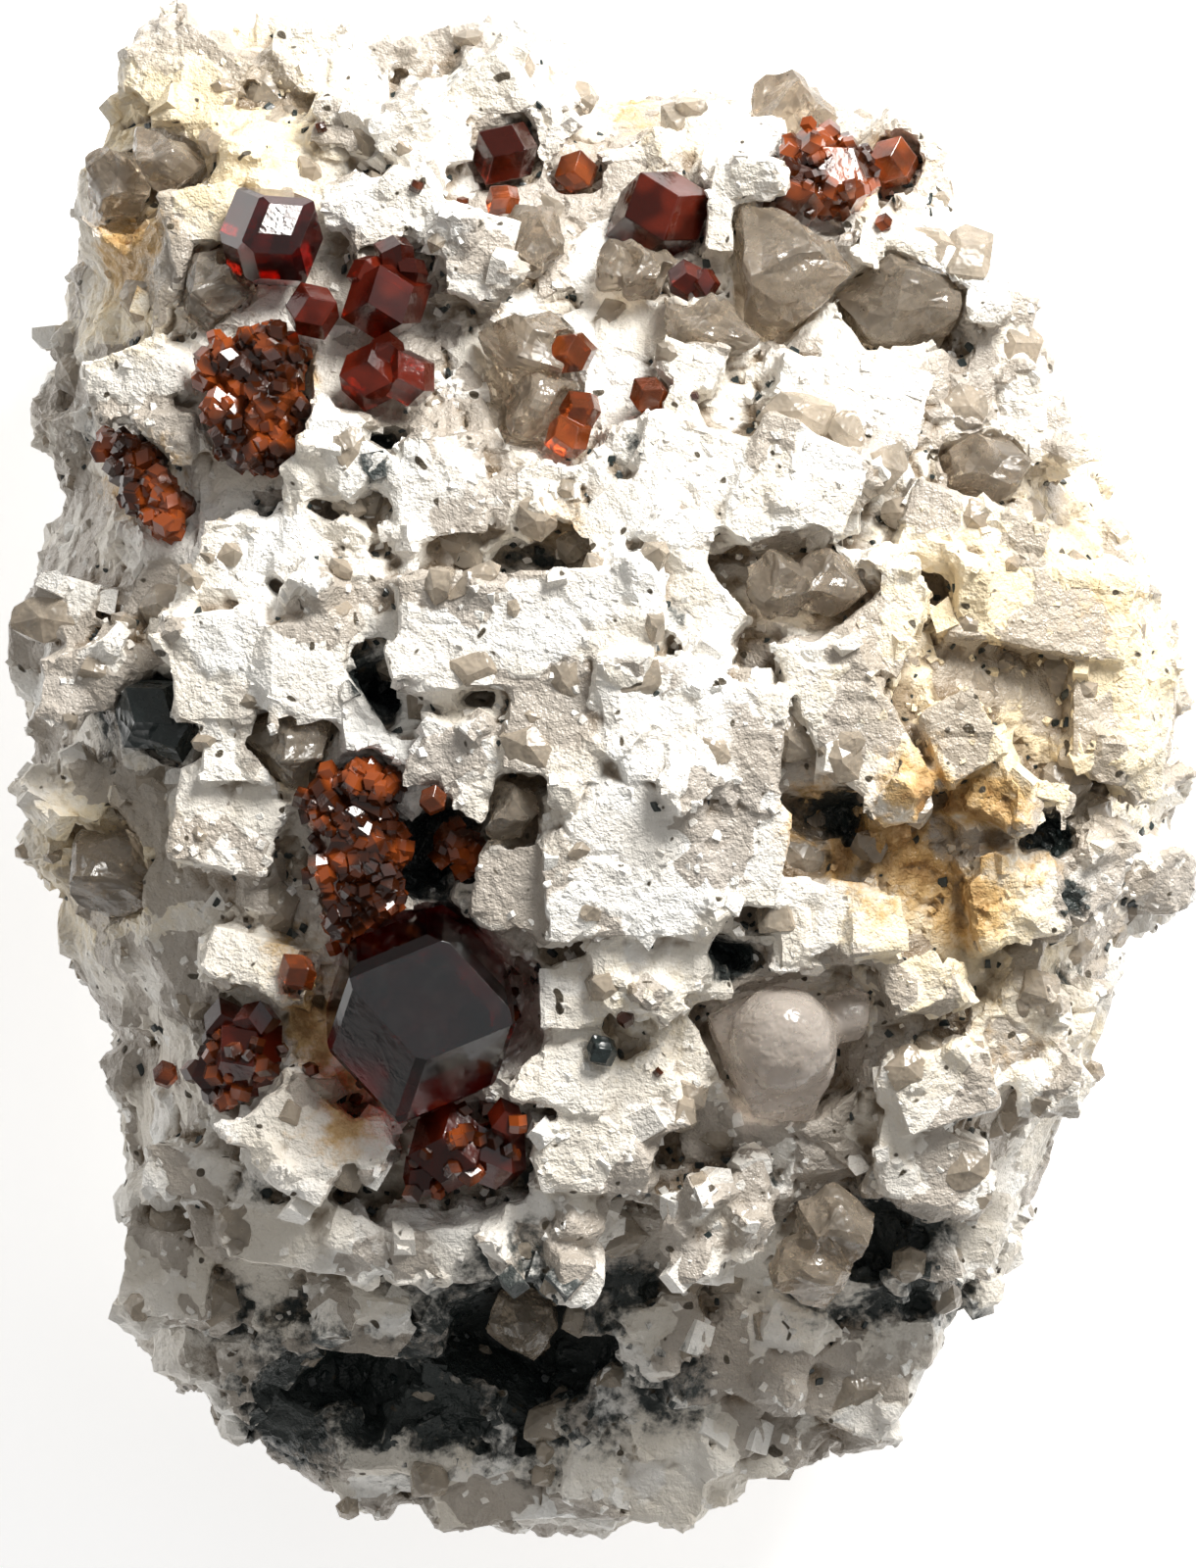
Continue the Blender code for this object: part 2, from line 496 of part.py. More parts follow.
def face_block(index, block, collection):
    """A feldspar crystal of the display face, sunk in the rock as deep as it is wide."""
    chance = random.Random(f"block {block.x} {block.y}")
    deep = 0.8 * min(block.wide, block.long) + block.proud + SUNK
    bm = cut_crystal(block_planes(block.wide, block.long, deep, 0, chance))
    middle = face_height(block.x, block.y) + block.proud - deep / 2
    place = placed(block.x, block.y, middle, (-block.lean_y, block.lean_x, block.spin))
    return as_helper(mesh_object(f"block_{index}", bm, collection, place))


def flank_blocks(collection):
    """Feldspar crystals round the sides and over the edges of the back."""
    chance = random.Random(FLANK_SEED)
    for row, (height, count, inset) in enumerate(FLANK_ROWS):
        for i in range(count):
            step = i + 0.5 * (row % 2) + chance.uniform(-0.25, 0.25)
            angle = math.tau * step / count - math.pi
            out = reach(angle) - inset
            x, y = out * math.cos(angle), out * math.sin(angle)
            z = min(height + chance.uniform(-1.5, 1.5), face_height(x, y))
            size = [chance.uniform(*FLANK_SIZES) for _ in range(3)]
            bm = cut_crystal(block_planes(*size, 0, chance))
            leans = [chance.uniform(-FLANK_LEAN, FLANK_LEAN) for _ in range(3)]
            turn = (leans[0], leans[1], math.degrees(angle) + leans[2])
            as_helper(mesh_object(f"flank_{row}_{i}", bm, collection, placed(x, y, z, turn)))


def pit_cutter(index, pit, collection):
    chance = random.Random(f"pit {pit.x} {pit.y}")
    bm = cut_crystal(grain_planes(pit.wide, pit.long, 2 * pit.depth, 0, chance))
    surface = face_height(pit.x, pit.y) + PIT_MOUTH
    place = placed(pit.x, pit.y, surface, (0, 0, pit.spin))
    as_helper(mesh_object(f"pit_{index}", bm, collection, place))


def back_cutter(collection):
    """The block whose top face leaves the specimen's back flat."""
    width, thickness = BACK_SLAB
    bm = bmesh.new()
    bmesh.ops.create_cube(bm, size=width * MM)
    bmesh.ops.scale(bm, vec=(1, 1, thickness / width), verts=bm.verts[:])
    as_helper(mesh_object("back_break", bm, collection, placed(0, 0, -thickness / 2, (0, 0, 0))))


def cup_round(shapes):
    """The pocket of a cluster: upright walls that taper below, as close round it as the gap."""
    corners = []
    for place, shape in shapes:
        crystal = shape(GAP)
        corners += [place @ vert.co / MM for vert in crystal.verts]
        crystal.free()
    middle = sum(corners, Vector()) / len(corners)
    ways = [Vector((0, 0, 1)), Vector((0, 0, -1))]
    for i in range(CUP_SIDES):
        angle = math.tau * i / CUP_SIDES
        for dip in (0, CUP_TAPER):
            ways.append(Vector((math.cos(angle), math.sin(angle), -dip)).normalized())
    bm = cut_crystal([(way, max((corner - middle).dot(way) for corner in corners)) for way in ways])
    bmesh.ops.translate(bm, vec=middle * MM, verts=bm.verts[:])
    return bm


def joined_crystals(name, shapes, finish, nodes, helpers, pockets):
    """One node of crystals grown together, and the pocket that it stands in.

    Each shape is its place and a function that makes it, grown by a distance.
    """
    others = None
    if len(shapes) > 1:
        as_helper(mesh_object(f"{name}_pocket", cup_round(shapes), pockets))
    else:
        place, shape = shapes[0]
        as_helper(mesh_object(f"{name}_pocket", shape(GAP), pockets, place))
    for i, (place, shape) in enumerate(shapes):
        if i == 0:
            node = mesh_object(name, shape(0), nodes, place, finish)
        else:
            others = others or new_collection(f"{name}_crystals", helpers)
            as_helper(mesh_object(f"{name}_{i}", shape(0), others, place))
    if others:
        boolean(node, "grown together", "UNION", others)
    return node


def garnet_shapes(name, garnets):
    shapes = []
    for i, garnet in enumerate(garnets):
        seed = f"{name}{i}"
        z = face_height(garnet.x, garnet.y) + garnet.proud - garnet.radius

        def shape(grow, radius=garnet.radius, seed=seed):
            form = small_garnet if radius < EDGED_GARNET else large_garnet
            return form(radius, grow, random.Random(seed))

        shapes.append((placed(garnet.x, garnet.y, z, garnet.turn), shape))
    return shapes


def quartz_shapes(name, grains):
    shapes = []
    for i, grain in enumerate(grains):
        seed = f"{name}{i}"
        deep = 1.1 * min(grain.wide, grain.long) + 1.0
        z = face_height(grain.x, grain.y) + grain.proud - deep / 2

        def shape(grow, size=(grain.wide, grain.long, deep), seed=seed):
            return cut_crystal(grain_planes(*size, grow, random.Random(seed)))

        shapes.append((placed(grain.x, grain.y, z, (0, 0, grain.spin)), shape))
    return shapes


def build():
    clear_scene()
    specimen = new_collection("garnets_in_matrix")
    helpers = new_collection("helpers")
    grown = new_collection("grown_on_the_rock", helpers)
    cutters = new_collection("cutters", helpers)
    garnet_pockets = new_collection("garnet_pockets", cutters)

    feldspar = material("feldspar", FELDSPAR_WHITE, 0.7)
    garnet = material("garnet", GARNET_RED, 0.12, 0.6)
    quartz = material("smoky quartz", QUARTZ_GREY, 0.25, 0.4)
    black = material("black mineral", CRYSTAL_BLACK, 0.3)

    matrix = mesh_object("matrix", rock_core(), specimen, finish=feldspar)
    for index, block in enumerate(FACE_BLOCKS):
        face_block(index, block, grown)
    flank_blocks(grown)
    for index, pit in enumerate(PITS):
        pit_cutter(index, pit, cutters)
    back_cutter(cutters)

    for name, garnets in GARNETS.items():
        joined_crystals(name, garnet_shapes(name, garnets), garnet, specimen, helpers, garnet_pockets)
    for name, crystals in BLACK_CRYSTALS.items():
        joined_crystals(name, garnet_shapes(name, crystals), black, specimen, helpers, cutters)
    for name, grains in QUARTZ.items():
        grain = joined_crystals(name, quartz_shapes(name, grains), quartz, specimen, helpers, cutters)
        boolean(grain, "garnet pockets", "DIFFERENCE", garnet_pockets)

    boolean(matrix, "crystals grown on the rock", "UNION", grown)
    boolean(matrix, "pits and pockets", "DIFFERENCE", cutters)


build()
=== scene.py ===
# %% [markdown]
# # Garnets in matrix
# The real object is a loose piece of rock: white feldspar with grey smoky quartz, and dark red
# garnets that grew on it. Its main forms come packed as solids. This script keeps them as the
# frame and dresses them with finer crystals and with materials.

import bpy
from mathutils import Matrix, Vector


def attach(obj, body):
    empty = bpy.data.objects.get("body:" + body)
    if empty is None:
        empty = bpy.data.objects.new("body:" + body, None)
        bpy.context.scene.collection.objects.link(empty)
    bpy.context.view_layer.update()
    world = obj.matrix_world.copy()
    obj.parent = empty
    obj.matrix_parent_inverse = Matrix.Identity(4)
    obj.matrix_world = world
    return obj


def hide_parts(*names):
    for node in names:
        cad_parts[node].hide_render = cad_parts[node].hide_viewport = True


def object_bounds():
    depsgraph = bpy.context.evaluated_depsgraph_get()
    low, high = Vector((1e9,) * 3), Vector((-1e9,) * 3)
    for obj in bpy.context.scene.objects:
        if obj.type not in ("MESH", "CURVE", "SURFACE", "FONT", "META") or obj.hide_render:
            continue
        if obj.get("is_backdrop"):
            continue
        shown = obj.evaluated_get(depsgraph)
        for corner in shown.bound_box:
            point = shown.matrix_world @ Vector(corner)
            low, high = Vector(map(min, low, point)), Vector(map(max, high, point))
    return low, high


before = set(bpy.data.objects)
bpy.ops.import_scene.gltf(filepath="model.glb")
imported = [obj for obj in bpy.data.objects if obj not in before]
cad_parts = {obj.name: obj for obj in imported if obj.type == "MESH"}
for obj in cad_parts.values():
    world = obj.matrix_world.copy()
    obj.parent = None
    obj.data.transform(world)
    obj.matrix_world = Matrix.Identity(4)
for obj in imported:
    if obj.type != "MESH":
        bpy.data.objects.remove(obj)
cad_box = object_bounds()
print("frame:", len(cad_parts), "nodes")

# %% [markdown]
# Everything is in metres, with the display face up (+Z) and the top of the photograph at +Y.
# All the chance in the script comes from seeded generators, so that each run makes the same rock.

# %% Units and modules
import math
import random

import bmesh
import bpy
import numpy as np
from mathutils import Euler, Matrix, Vector, bvhtree, kdtree, noise

MM = 0.001
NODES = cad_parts
GARNETS = [name for name in NODES if "garnet" in name or "druse" in name or name.endswith("_cluster")]
GARNETS = [name for name in GARNETS if not name.endswith("quartz")]
QUARTZ = [name for name in NODES if "quartz" in name and name not in GARNETS]
BLACKS = [name for name in NODES if name.startswith("black")]
print(len(GARNETS), "garnet nodes,", len(QUARTZ), "quartz nodes,", len(BLACKS), "black nodes")

# %% [markdown]
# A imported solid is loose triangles. A copy of it is merged into one skin before it is worked on.
# Mesh work here runs in a bmesh, and only the finished mesh becomes an object, which sits at the
# origin with its place in its vertices.

# %% Helpers for meshes
def solid_copy(node):
    """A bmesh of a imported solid, merged into one skin."""
    bm = bmesh.new()
    bm.from_mesh(NODES[node].data)
    bmesh.ops.remove_doubles(bm, verts=bm.verts[:], dist=1e-6)
    return bm


def mesh_of(name, bm):
    """The finished mesh of a bmesh."""
    mesh = bpy.data.meshes.new(name)
    bm.to_mesh(mesh)
    bm.free()
    return mesh


def piece(name, bm, finish):
    """Turns a bmesh into a flat-shaded object with one material."""
    mesh = mesh_of(name, bm)
    made = bpy.data.objects.new(name, mesh)
    bpy.context.scene.collection.objects.link(made)
    mesh.polygons.foreach_set("use_smooth", [False] * len(mesh.polygons))
    mesh.materials.append(finish)
    return made


def applied(obj):
    """Applies the object's modifiers, and returns its new mesh."""
    graph = bpy.context.evaluated_depsgraph_get()
    obj.data = bpy.data.meshes.new_from_object(obj.evaluated_get(graph))
    obj.modifiers.clear()
    return obj.data


def one_skin(obj, voxel):
    """Wraps all that the object is made of in one even skin."""
    remesh = obj.modifiers.new("one skin", "REMESH")
    remesh.mode = "VOXEL"
    remesh.voxel_size = voxel
    return applied(obj)


def points_of(mesh):
    found = np.empty(len(mesh.vertices) * 3, np.float32)
    mesh.vertices.foreach_get("co", found)
    return found.reshape(-1, 3).astype(np.float64)


def normals_of(mesh):
    found = np.empty(len(mesh.vertices) * 3, np.float32)
    mesh.vertex_normals.foreach_get("vector", found)
    return found.reshape(-1, 3).astype(np.float64)


def place_points(mesh, points):
    mesh.vertices.foreach_set("co", points.astype(np.float32).ravel())
    mesh.update()

# %% [markdown]
# Feldspar breaks into blocks with nearly square corners. A few such blocks are cut from cubes
# with bisecting planes, and every small crystal on the rock is a turned and scaled copy of one.
# They have few faces, because hundreds of them stand on the rock.

# %% Small feldspar blocks
def cut_away(bm, normal, distance):
    """Cuts off what lies further out than the distance along the normal, and closes the cut."""
    normal = Vector(normal).normalized()
    cut = bmesh.ops.bisect_plane(
        bm,
        geom=bm.verts[:] + bm.edges[:] + bm.faces[:],
        dist=1e-7,
        plane_co=normal * distance,
        plane_no=normal,
        clear_outer=True,
    )
    rim = [part for part in cut["geom_cut"] if isinstance(part, bmesh.types.BMEdge)]
    if rim:
        bmesh.ops.contextual_create(bm, geom=rim)


def block_form(chance):
    """A unit block: a cube with each side leaned a little and two corners broken off."""
    bm = bmesh.new()
    bmesh.ops.create_cube(bm, size=2.0)
    for axis in range(3):
        for side in (-1, 1):
            lean = [chance.uniform(-0.16, 0.16) for _ in range(3)]
            lean[axis] = side
            cut_away(bm, lean, 0.5 * chance.uniform(0.85, 1.0))
    for _ in range(2):
        corner = [chance.choice((-1, 1)) * chance.uniform(0.5, 1) for _ in range(3)]
        cut_away(bm, corner, chance.uniform(0.5, 0.62))
    bmesh.ops.recalc_face_normals(bm, faces=bm.faces[:])
    return mesh_of("block form", bm)


form_chance = random.Random(3)
BLOCK_FORMS = [block_form(form_chance) for _ in range(10)]
print("block forms:", [len(form.polygons) for form in BLOCK_FORMS])


def add_copy(bm, form, matrix):
    """One more copy of a form, turned, scaled and placed by the matrix."""
    copy = form.copy()
    copy.transform(matrix)
    bm.from_mesh(copy)
    bpy.data.meshes.remove(copy)

# %% [markdown]
# Nothing new may grow over a garnet, a quartz grain or a black crystal. A search tree of all their
# faces tells how near a spot is to one of them.

# %% Where the crystals are
def skin_of(nodes):
    """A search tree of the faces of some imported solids."""
    bm = bmesh.new()
    for name in nodes:
        bm.from_mesh(NODES[name].data)
    tree = bvhtree.BVHTree.FromBMesh(bm)
    bm.free()
    return tree


crystal_skin = skin_of(GARNETS + QUARTZ + BLACKS)
nearest_crystal = crystal_skin.find_nearest(Vector((0, 0, 0)))[3]
print("from the middle of the back to the nearest crystal:", round(nearest_crystal / MM, 1), "mm")


def clear_of_crystals(spot, distance):
    """True when no garnet, quartz or black crystal is this near."""
    return crystal_skin.find_nearest(spot, distance)[0] is None

# %% [markdown]
# New crystals are strewn over the surface. A triangle is drawn with a chance that follows its
# area, and then a spot inside it, so that the spots spread evenly. Each crystal stands on its spot
# along the surface's normal, leaned a little and sunk in.

# %% Strewing points on a surface
def strewn(mesh, count, seed):
    """Points spread evenly over a mesh by area, each with the normal of its face."""
    mesh.calc_loop_triangles()
    corners = np.empty(len(mesh.loop_triangles) * 3, np.int32)
    mesh.loop_triangles.foreach_get("vertices", corners)
    corners = points_of(mesh)[corners.reshape(-1, 3)]
    a, b, c = corners[:, 0], corners[:, 1], corners[:, 2]
    across = np.cross(b - a, c - a)
    area = np.linalg.norm(across, axis=1)
    chance = np.random.default_rng(seed)
    chosen = chance.choice(len(area), size=count, p=area / area.sum())
    u, v = chance.random((2, count, 1))
    over = u + v > 1
    u, v = np.where(over, 1 - u, u), np.where(over, 1 - v, v)
    spots = a[chosen] + u * (b - a)[chosen] + v * (c - a)[chosen]
    ways = across[chosen] / area[chosen, None]
    return [(Vector(spot), Vector(way)) for spot, way in zip(spots, ways)]


def grown_at(spot, way, size, chance, tilt=0.5, sunk=0.2):
    """A matrix that stands a form of this size on the surface, leaned at random and sunk in."""
    up = (way + Vector([chance.uniform(-tilt, tilt) for _ in range(3)])).normalized()
    turn = up.to_track_quat("Z", "Y").to_matrix() @ Matrix.Rotation(chance.uniform(0, math.tau), 3, "Z")
    turn = turn @ Matrix.Diagonal(size)
    return Matrix.Translation(spot - up * size[2] * sunk) @ turn.to_4x4()

# %% [markdown]
# The rock itself is one grown-together mass, so its small ledges and crystals must run into each
# other with no seams. Blocks of 1 to 3 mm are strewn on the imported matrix, most of them on its
# sides, and a voxel Remesh turns the lot into one skin. The flat back stays as it is.

# %% Crystals that fuse with the rock
BACK = 1.2 * MM
FUSED_CRYSTALS = 1500


def strew_blocks(bm, mesh, count, seed, sizes, tilt=0.5, sunk=0.2, keep=None):
    """Adds blocks of these sizes, in millimetres, to a bmesh, and returns how many."""
    chance = random.Random(seed)
    made = 0
    for spot, way in strewn(mesh, count, seed):
        middle = chance.uniform(*sizes) * MM
        size = [middle * chance.uniform(0.7, 1.4) for _ in range(3)]
        if spot.z < BACK + middle * 0.7 or not clear_of_crystals(spot, 0.55 * max(size)):
            continue
        if keep and not keep(spot, way, chance):
            continue
        add_copy(bm, chance.choice(BLOCK_FORMS), grown_at(spot, way, size, chance, tilt, sunk))
        made += 1
    return made


def mostly_on_the_sides(spot, way, chance):
    """Few crystals on level ground, where the large blocks show their flat tops."""
    return chance.random() > 0.95 * max(0.0, way.z) ** 1.5


rock_bm = solid_copy("matrix")
matrix_mesh = NODES["matrix"].data
fused = strew_blocks(rock_bm, matrix_mesh, FUSED_CRYSTALS, 21, (1.1, 2.6), keep=mostly_on_the_sides)
print("fused crystals:", fused)

# %% [markdown]
# Colours on this rock follow places: rust round the hollows, a dark mineral and painted shade in
# the undercut and in pits, smoky patches, and painted shade in the wide smoky spots at the lower
# end. Each place is a soft round spot: its x, y and radius in millimetres, and a strength.

# %% Places of stains, dark minerals and painted shade
RUST_SPOTS = [
    (16.6, -2.2, 4.6, 1.0), (12.0, -2.6, 3.4, 1.0), (18.4, -6.0, 2.8, 0.8), (11.4, -0.6, 2.2, 0.5),
    (19.6, -1.0, 2.6, 0.8), (14.0, -5.6, 2.0, 0.6), (-12.8, -13.8, 2.4, 0.9), (22.0, -4.0, 2.2, 0.5),
    (-14.4, -11.6, 2.6, 0.9), (-13.2, -16.4, 3.0, 0.7), (-15.6, -8.0, 2.0, 0.5),
    (-23.8, 27.0, 3.2, 0.7), (-24.4, 30.4, 2.6, 0.5), (-1.9, 12.8, 2.0, 0.6),
    (12.2, 30.8, 3.6, 0.6), (15.2, 32.0, 2.4, 0.6), (8.7, 10.0, 2.4, 0.4), (26.0, 9.0, 4.0, 0.35),
    (22.0, 19.0, 3.0, 0.3), (-16.9, 20.0, 3.6, 0.8), (-22.8, 15.2, 2.8, 0.7), (20.4, -12.6, 4.0, 0.3),
    (1.5, 34.6, 3.0, 0.5), (-5.2, -18.4, 2.8, 0.5),
]
CREAM_SPOTS = [
    (22.0, 6.0, 12.0, 1.0), (-20.0, 33.0, 8.0, 1.0), (18.0, -8.0, 9.0, 0.8), (-25.0, -4.0, 6.0, 0.8),
    (26.0, 14.0, 6.0, 0.7), (-24.0, 24.0, 5.0, 0.7), (4.0, 33.0, 4.0, 0.6), (2.0, -12.0, 5.0, 0.5),
    (-9.0, 33.5, 3.0, 0.5), (-22.0, 20.0, 5.0, 0.4), (-16.0, -11.0, 6.0, 0.5), (24.0, -14.0, 6.0, 0.5),
    (12.0, 16.0, 4.0, 0.3), (-14.0, -18.0, 5.0, 0.3), (16.0, 26.0, 5.0, 0.3),
]
# Green-black spots: a dark mineral in places, and painted shade in the undercut of the lower end and in
# pits.
DARK_MINERAL_AND_SHADE_SPOTS = [
    (-3.8, -29.0, 8.4, 1.0), (-14.6, -31.6, 6.0, 1.0), (-9.0, -31.0, 6.0, 1.0), (15.2, -24.0, 4.4, 1.0),
    (-19.0, -27.0, 3.0, 0.6), (11.0, -26.4, 3.0, 0.7), (3.6, -30.6, 3.4, 0.8), (18.6, -27.0, 3.4, 0.7),
    (1.2, -25.8, 2.6, 0.8), (-8.8, -3.6, 2.8, 1.0), (-11.2, 4.9, 2.2, 0.9), (-11.2, 16.0, 1.8, 0.9),
    (-3.6, 10.6, 2.0, 0.3), (6.5, -9.0, 1.7, 1.0), (22.8, -2.7, 1.6, 0.9), (23.8, -6.0, 1.8, 0.9),
    (12.2, -1.2, 2.2, 0.7), (4.6, -15.6, 1.7, 0.6), (14.0, -20.6, 1.8, 0.7), (-12.8, 22.4, 1.2, 0.6),
    (2.0, 17.0, 1.3, 0.7), (4.0, 8.4, 1.1, 0.6), (-22.9, 3.4, 3.0, 0.8), (-7.2, -6.6, 2.2, 0.9),
    (-17.6, -20.6, 2.2, 0.5), (-16.6, 14.0, 2.0, 0.4), (-6.6, 35.6, 1.8, 0.6), (-3.9, 33.0, 1.6, 0.5),
    (-26.4, 18.0, 1.8, 0.6), (8.0, -20.6, 2.4, 0.5), (24.0, -10.0, 2.0, 0.5),
]
# Smoky quartz patches; the wide spots at the lower end are painted shade.
SMOKE_AND_SHADE_SPOTS = [
    (-24.6, 31.2, 3.4, 0.8), (-21.6, 31.8, 3.0, 0.7), (-17.3, 35.4, 1.8, 0.9), (9.6, 34.6, 3.4, 0.9),
    (4.6, 36.0, 4.4, 0.6), (-22.0, 9.0, 2.6, 0.8), (-23.0, 0.2, 3.4, 0.9), (-24.0, -4.4, 4.6, 0.8),
    (-6.0, 5.4, 3.2, 0.5), (-1.4, 5.0, 2.6, 0.6), (2.4, 5.2, 2.6, 0.5), (10.4, 2.4, 4.4, 0.6),
    (9.6, 18.2, 3.6, 0.6), (14.0, 15.4, 3.4, 0.6), (18.8, 19.0, 2.6, 0.7), (20.0, 16.0, 3.4, 0.7),
    (19.4, 6.0, 2.8, 0.6), (23.6, 5.2, 3.0, 0.6), (9.2, 10.2, 3.6, 0.7), (-3.8, 12.2, 3.0, 0.8),
    (-7.0, 12.0, 1.8, 0.7), (-15.6, -6.0, 3.6, 0.6), (6.6, -14.0, 6.0, 0.4), (11.0, -23.0, 4.4, 0.8),
    (1.0, -22.6, 3.4, 0.7), (-22.0, -21.0, 5.0, 0.6), (-24.0, -14.0, 3.6, 0.6), (16.0, -30.0, 6.0, 0.7),
    (5.0, -37.0, 6.0, 0.6), (-14.0, -35.0, 6.0, 0.7), (24.4, -8.4, 3.0, 0.7), (29.0, 0.0, 5.0, 0.6),
    (-28.6, 8.0, 4.0, 0.7), (22.4, 23.0, 4.0, 0.6), (-26.5, 23.0, 4.0, 0.6), (8.6, -4.4, 2.6, 0.5),
    (9.0, -7.4, 2.4, 0.5), (24.0, -20.0, 5.0, 0.6), (-3.4, 26.8, 3.4, 0.4), (-3.6, 20.6, 4.0, 0.5),
]
SPOTS = {"rust": RUST_SPOTS, "cream": CREAM_SPOTS, "dark": DARK_MINERAL_AND_SHADE_SPOTS, "smoke_and_shade": SMOKE_AND_SHADE_SPOTS}
print("stains:", {name: len(spots) for name, spots in SPOTS.items()})

# %% [markdown]
# A picture could carry the stains, but then it would have to be wrapped round the rock. Here each
# vertex stores how strong each mark is there, and the materials mix their colours by it. The lower
# end, below a set y, is smoky all over: painted shade that darkens the rock towards its bottom.

# %% Storing the stains and painted shade on a mesh
SOFT_RIM = 1.35
FACE_FOOT, FACE_FADE = 4, 6
PAINTED_SHADE_END, PAINTED_SHADE_FADE, PAINTED_SHADE_STRENGTH = -22, 8, 0.8


def spot_values(points, spots):
    """For each point, the strongest of the spots there: full in the middle and soft at the rim."""
    found = np.zeros(len(points))
    for x, y, radius, strength in spots:
        away = np.hypot(points[:, 0] / MM - x, points[:, 1] / MM - y) / radius
        found = np.maximum(found, strength * np.clip(SOFT_RIM - away, 0, 1))
    return found


def store(mesh, name, values):
    """Keeps one number for each vertex, for the materials to read."""
    layer = mesh.attributes.new(name, "FLOAT", "POINT")
    layer.data.foreach_set("value", np.asarray(values, np.float32))


def stain_and_shade(mesh):
    """Stores the four kinds of spots, and the painted shade of the lower end with the smoke. The spots fade
    out down the sides, which have their own look.
    """
    points = points_of(mesh)
    face = np.clip((points[:, 2] / MM - FACE_FOOT) / FACE_FADE, 0, 1)
    values = {name: spot_values(points, spots) * face for name, spots in SPOTS.items()}
    # Painted shade: the lower end is made smoky all over, more so towards the bottom.
    painted_shade = PAINTED_SHADE_STRENGTH * np.clip((PAINTED_SHADE_END - points[:, 1] / MM) / PAINTED_SHADE_FADE, 0, 1)
    values["smoke_and_shade"] = np.maximum(values["smoke_and_shade"], painted_shade)
    for name, found in values.items():
        store(mesh, name, found)

# %% [markdown]
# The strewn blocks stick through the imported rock. A voxel Remesh lays one even skin round them
# all, fine enough for the relief that comes next.

# %% One skin
VOXEL = 0.31 * MM
rock = piece("fine_rock", rock_bm, bpy.data.materials.new("feldspar rock"))
rock_mesh = one_skin(rock, VOXEL)
print("rock skin:", len(rock_mesh.vertices), "vertices", len(rock_mesh.polygons), "faces")

# %% [markdown]
# Real feldspar blocks have broad flat cleavage faces. The solid's own faces are measured, so that
# the relief can be held back on them: a face of 1.5 mm2 keeps all of it, one of 9 mm2 less than a third.

# %% Where the rock stays flat
FLAT_AREA = (1.5, 9.0)
FLAT_SHARE = 0.3
flats = solid_copy("matrix")
bmesh.ops.dissolve_limit(flats, angle_limit=math.radians(1.0), verts=flats.verts[:], edges=flats.edges[:])
flats.faces.ensure_lookup_table()
FLAT_TREE = bvhtree.BVHTree.FromBMesh(flats)
FLAT_AREAS = [face.calc_area() / MM ** 2 for face in flats.faces]
flats.free()
print("flat faces of the solid:", len(FLAT_AREAS), "largest", round(max(FLAT_AREAS)), "mm2")


def share_left(spot):
    """How much of the relief is kept at a spot: little on the broad faces of the large blocks."""
    face = FLAT_TREE.find_nearest(spot * MM)[2]
    low, high = FLAT_AREA
    flat = min(max((FLAT_AREAS[face] - low) / (high - low), 0.0), 1.0)
    return 1 - (1 - FLAT_SHARE) * flat

# %% [markdown]
# The rock is made of crystals a few millimetres wide that grew against each other. Cells with
# square corners give each its own level and tilt and a groove at its border, at two sizes, and
# noise adds the sugary roughness. All of this is in millimetres. Each cell also has dice, three
# random numbers of its own, and the material colours the crystals by two of them. The skin near
# the foot isn't moved, so that the broken back stays flat.

# %% Crystals, grooves and roughness
CRYSTAL_TURN = Euler((0.35, 0.25, 0.3)).to_matrix()
CRYSTAL_CELLS = [
    {"size": 4.0, "rise": 0.60, "tilt": 0.16, "groove": 0.32, "width": 0.06},
    {"size": 1.5, "rise": 0.17, "tilt": 0.14, "groove": 0.10, "width": 0.10},
]
BEND, BEND_TURNS, DICE_TURNS = 0.22, 1.7, 9.7
SUGAR = [(1.6, 0.09), (3.6, 0.05)]


def crystal_at(spot, size):
    """The crystal that a spot lies in: how far its seed is, how near its border, and its dice."""
    place = CRYSTAL_TURN @ spot / size
    turned = [noise.noise(place * BEND_TURNS + Vector((shift, 0, 0))) for shift in (0, 7, 13)]
    bent = place + BEND * Vector(turned)
    away, seeds = noise.voronoi(bent, distance_metric="CHEBYCHEV")
    return (bent - seeds[0]) * size, away[1] - away[0], noise.cell_vector(seeds[0] * DICE_TURNS)


def roughness_at(spot):
    """How far the skin moves out at a spot, in millimetres, with the dice of its large crystal."""
    push, border, large_dice, share = 0.0, 0.0, None, share_left(spot)
    for cells in CRYSTAL_CELLS:
        away, edge, dice = crystal_at(spot, cells["size"])
        groove = math.exp(-((edge / cells["width"]) ** 2))
        push += cells["rise"] * (dice.x - 0.5) + cells["tilt"] * away.dot(dice - Vector((0.5, 0.5, 0.5)))
        push -= cells["groove"] * groove
        if large_dice is None:
            large_dice, border = dice, groove
    push *= share
    for turns, height in SUGAR:
        push += height * noise.noise(spot * turns)
    return push, border * share, large_dice.y, large_dice.z


SMOOTH_FOOT, FLAT_FOOT = 0.3 * MM, 0.25 * MM


def roughen(mesh):
    """Moves the skin, and returns each vertex's groove and the two dice of its crystal."""
    points, ways = points_of(mesh), normals_of(mesh)
    found = np.array([roughness_at(Vector(p)) for p in points / MM])
    held = np.clip((points[:, 2] - SMOOTH_FOOT) / BACK, 0, 1)
    points = points + ways * (found[:, 0] * MM * held)[:, None]
    points[:, 2] = np.where(points[:, 2] < FLAT_FOOT, 0.0, points[:, 2])
    place_points(mesh, points)
    return found[:, 1:]


crystals = roughen(rock_mesh)
print("grooves on", round(100 * float((crystals[:, 0] > 0.5).mean()), 1), "% of the skin")

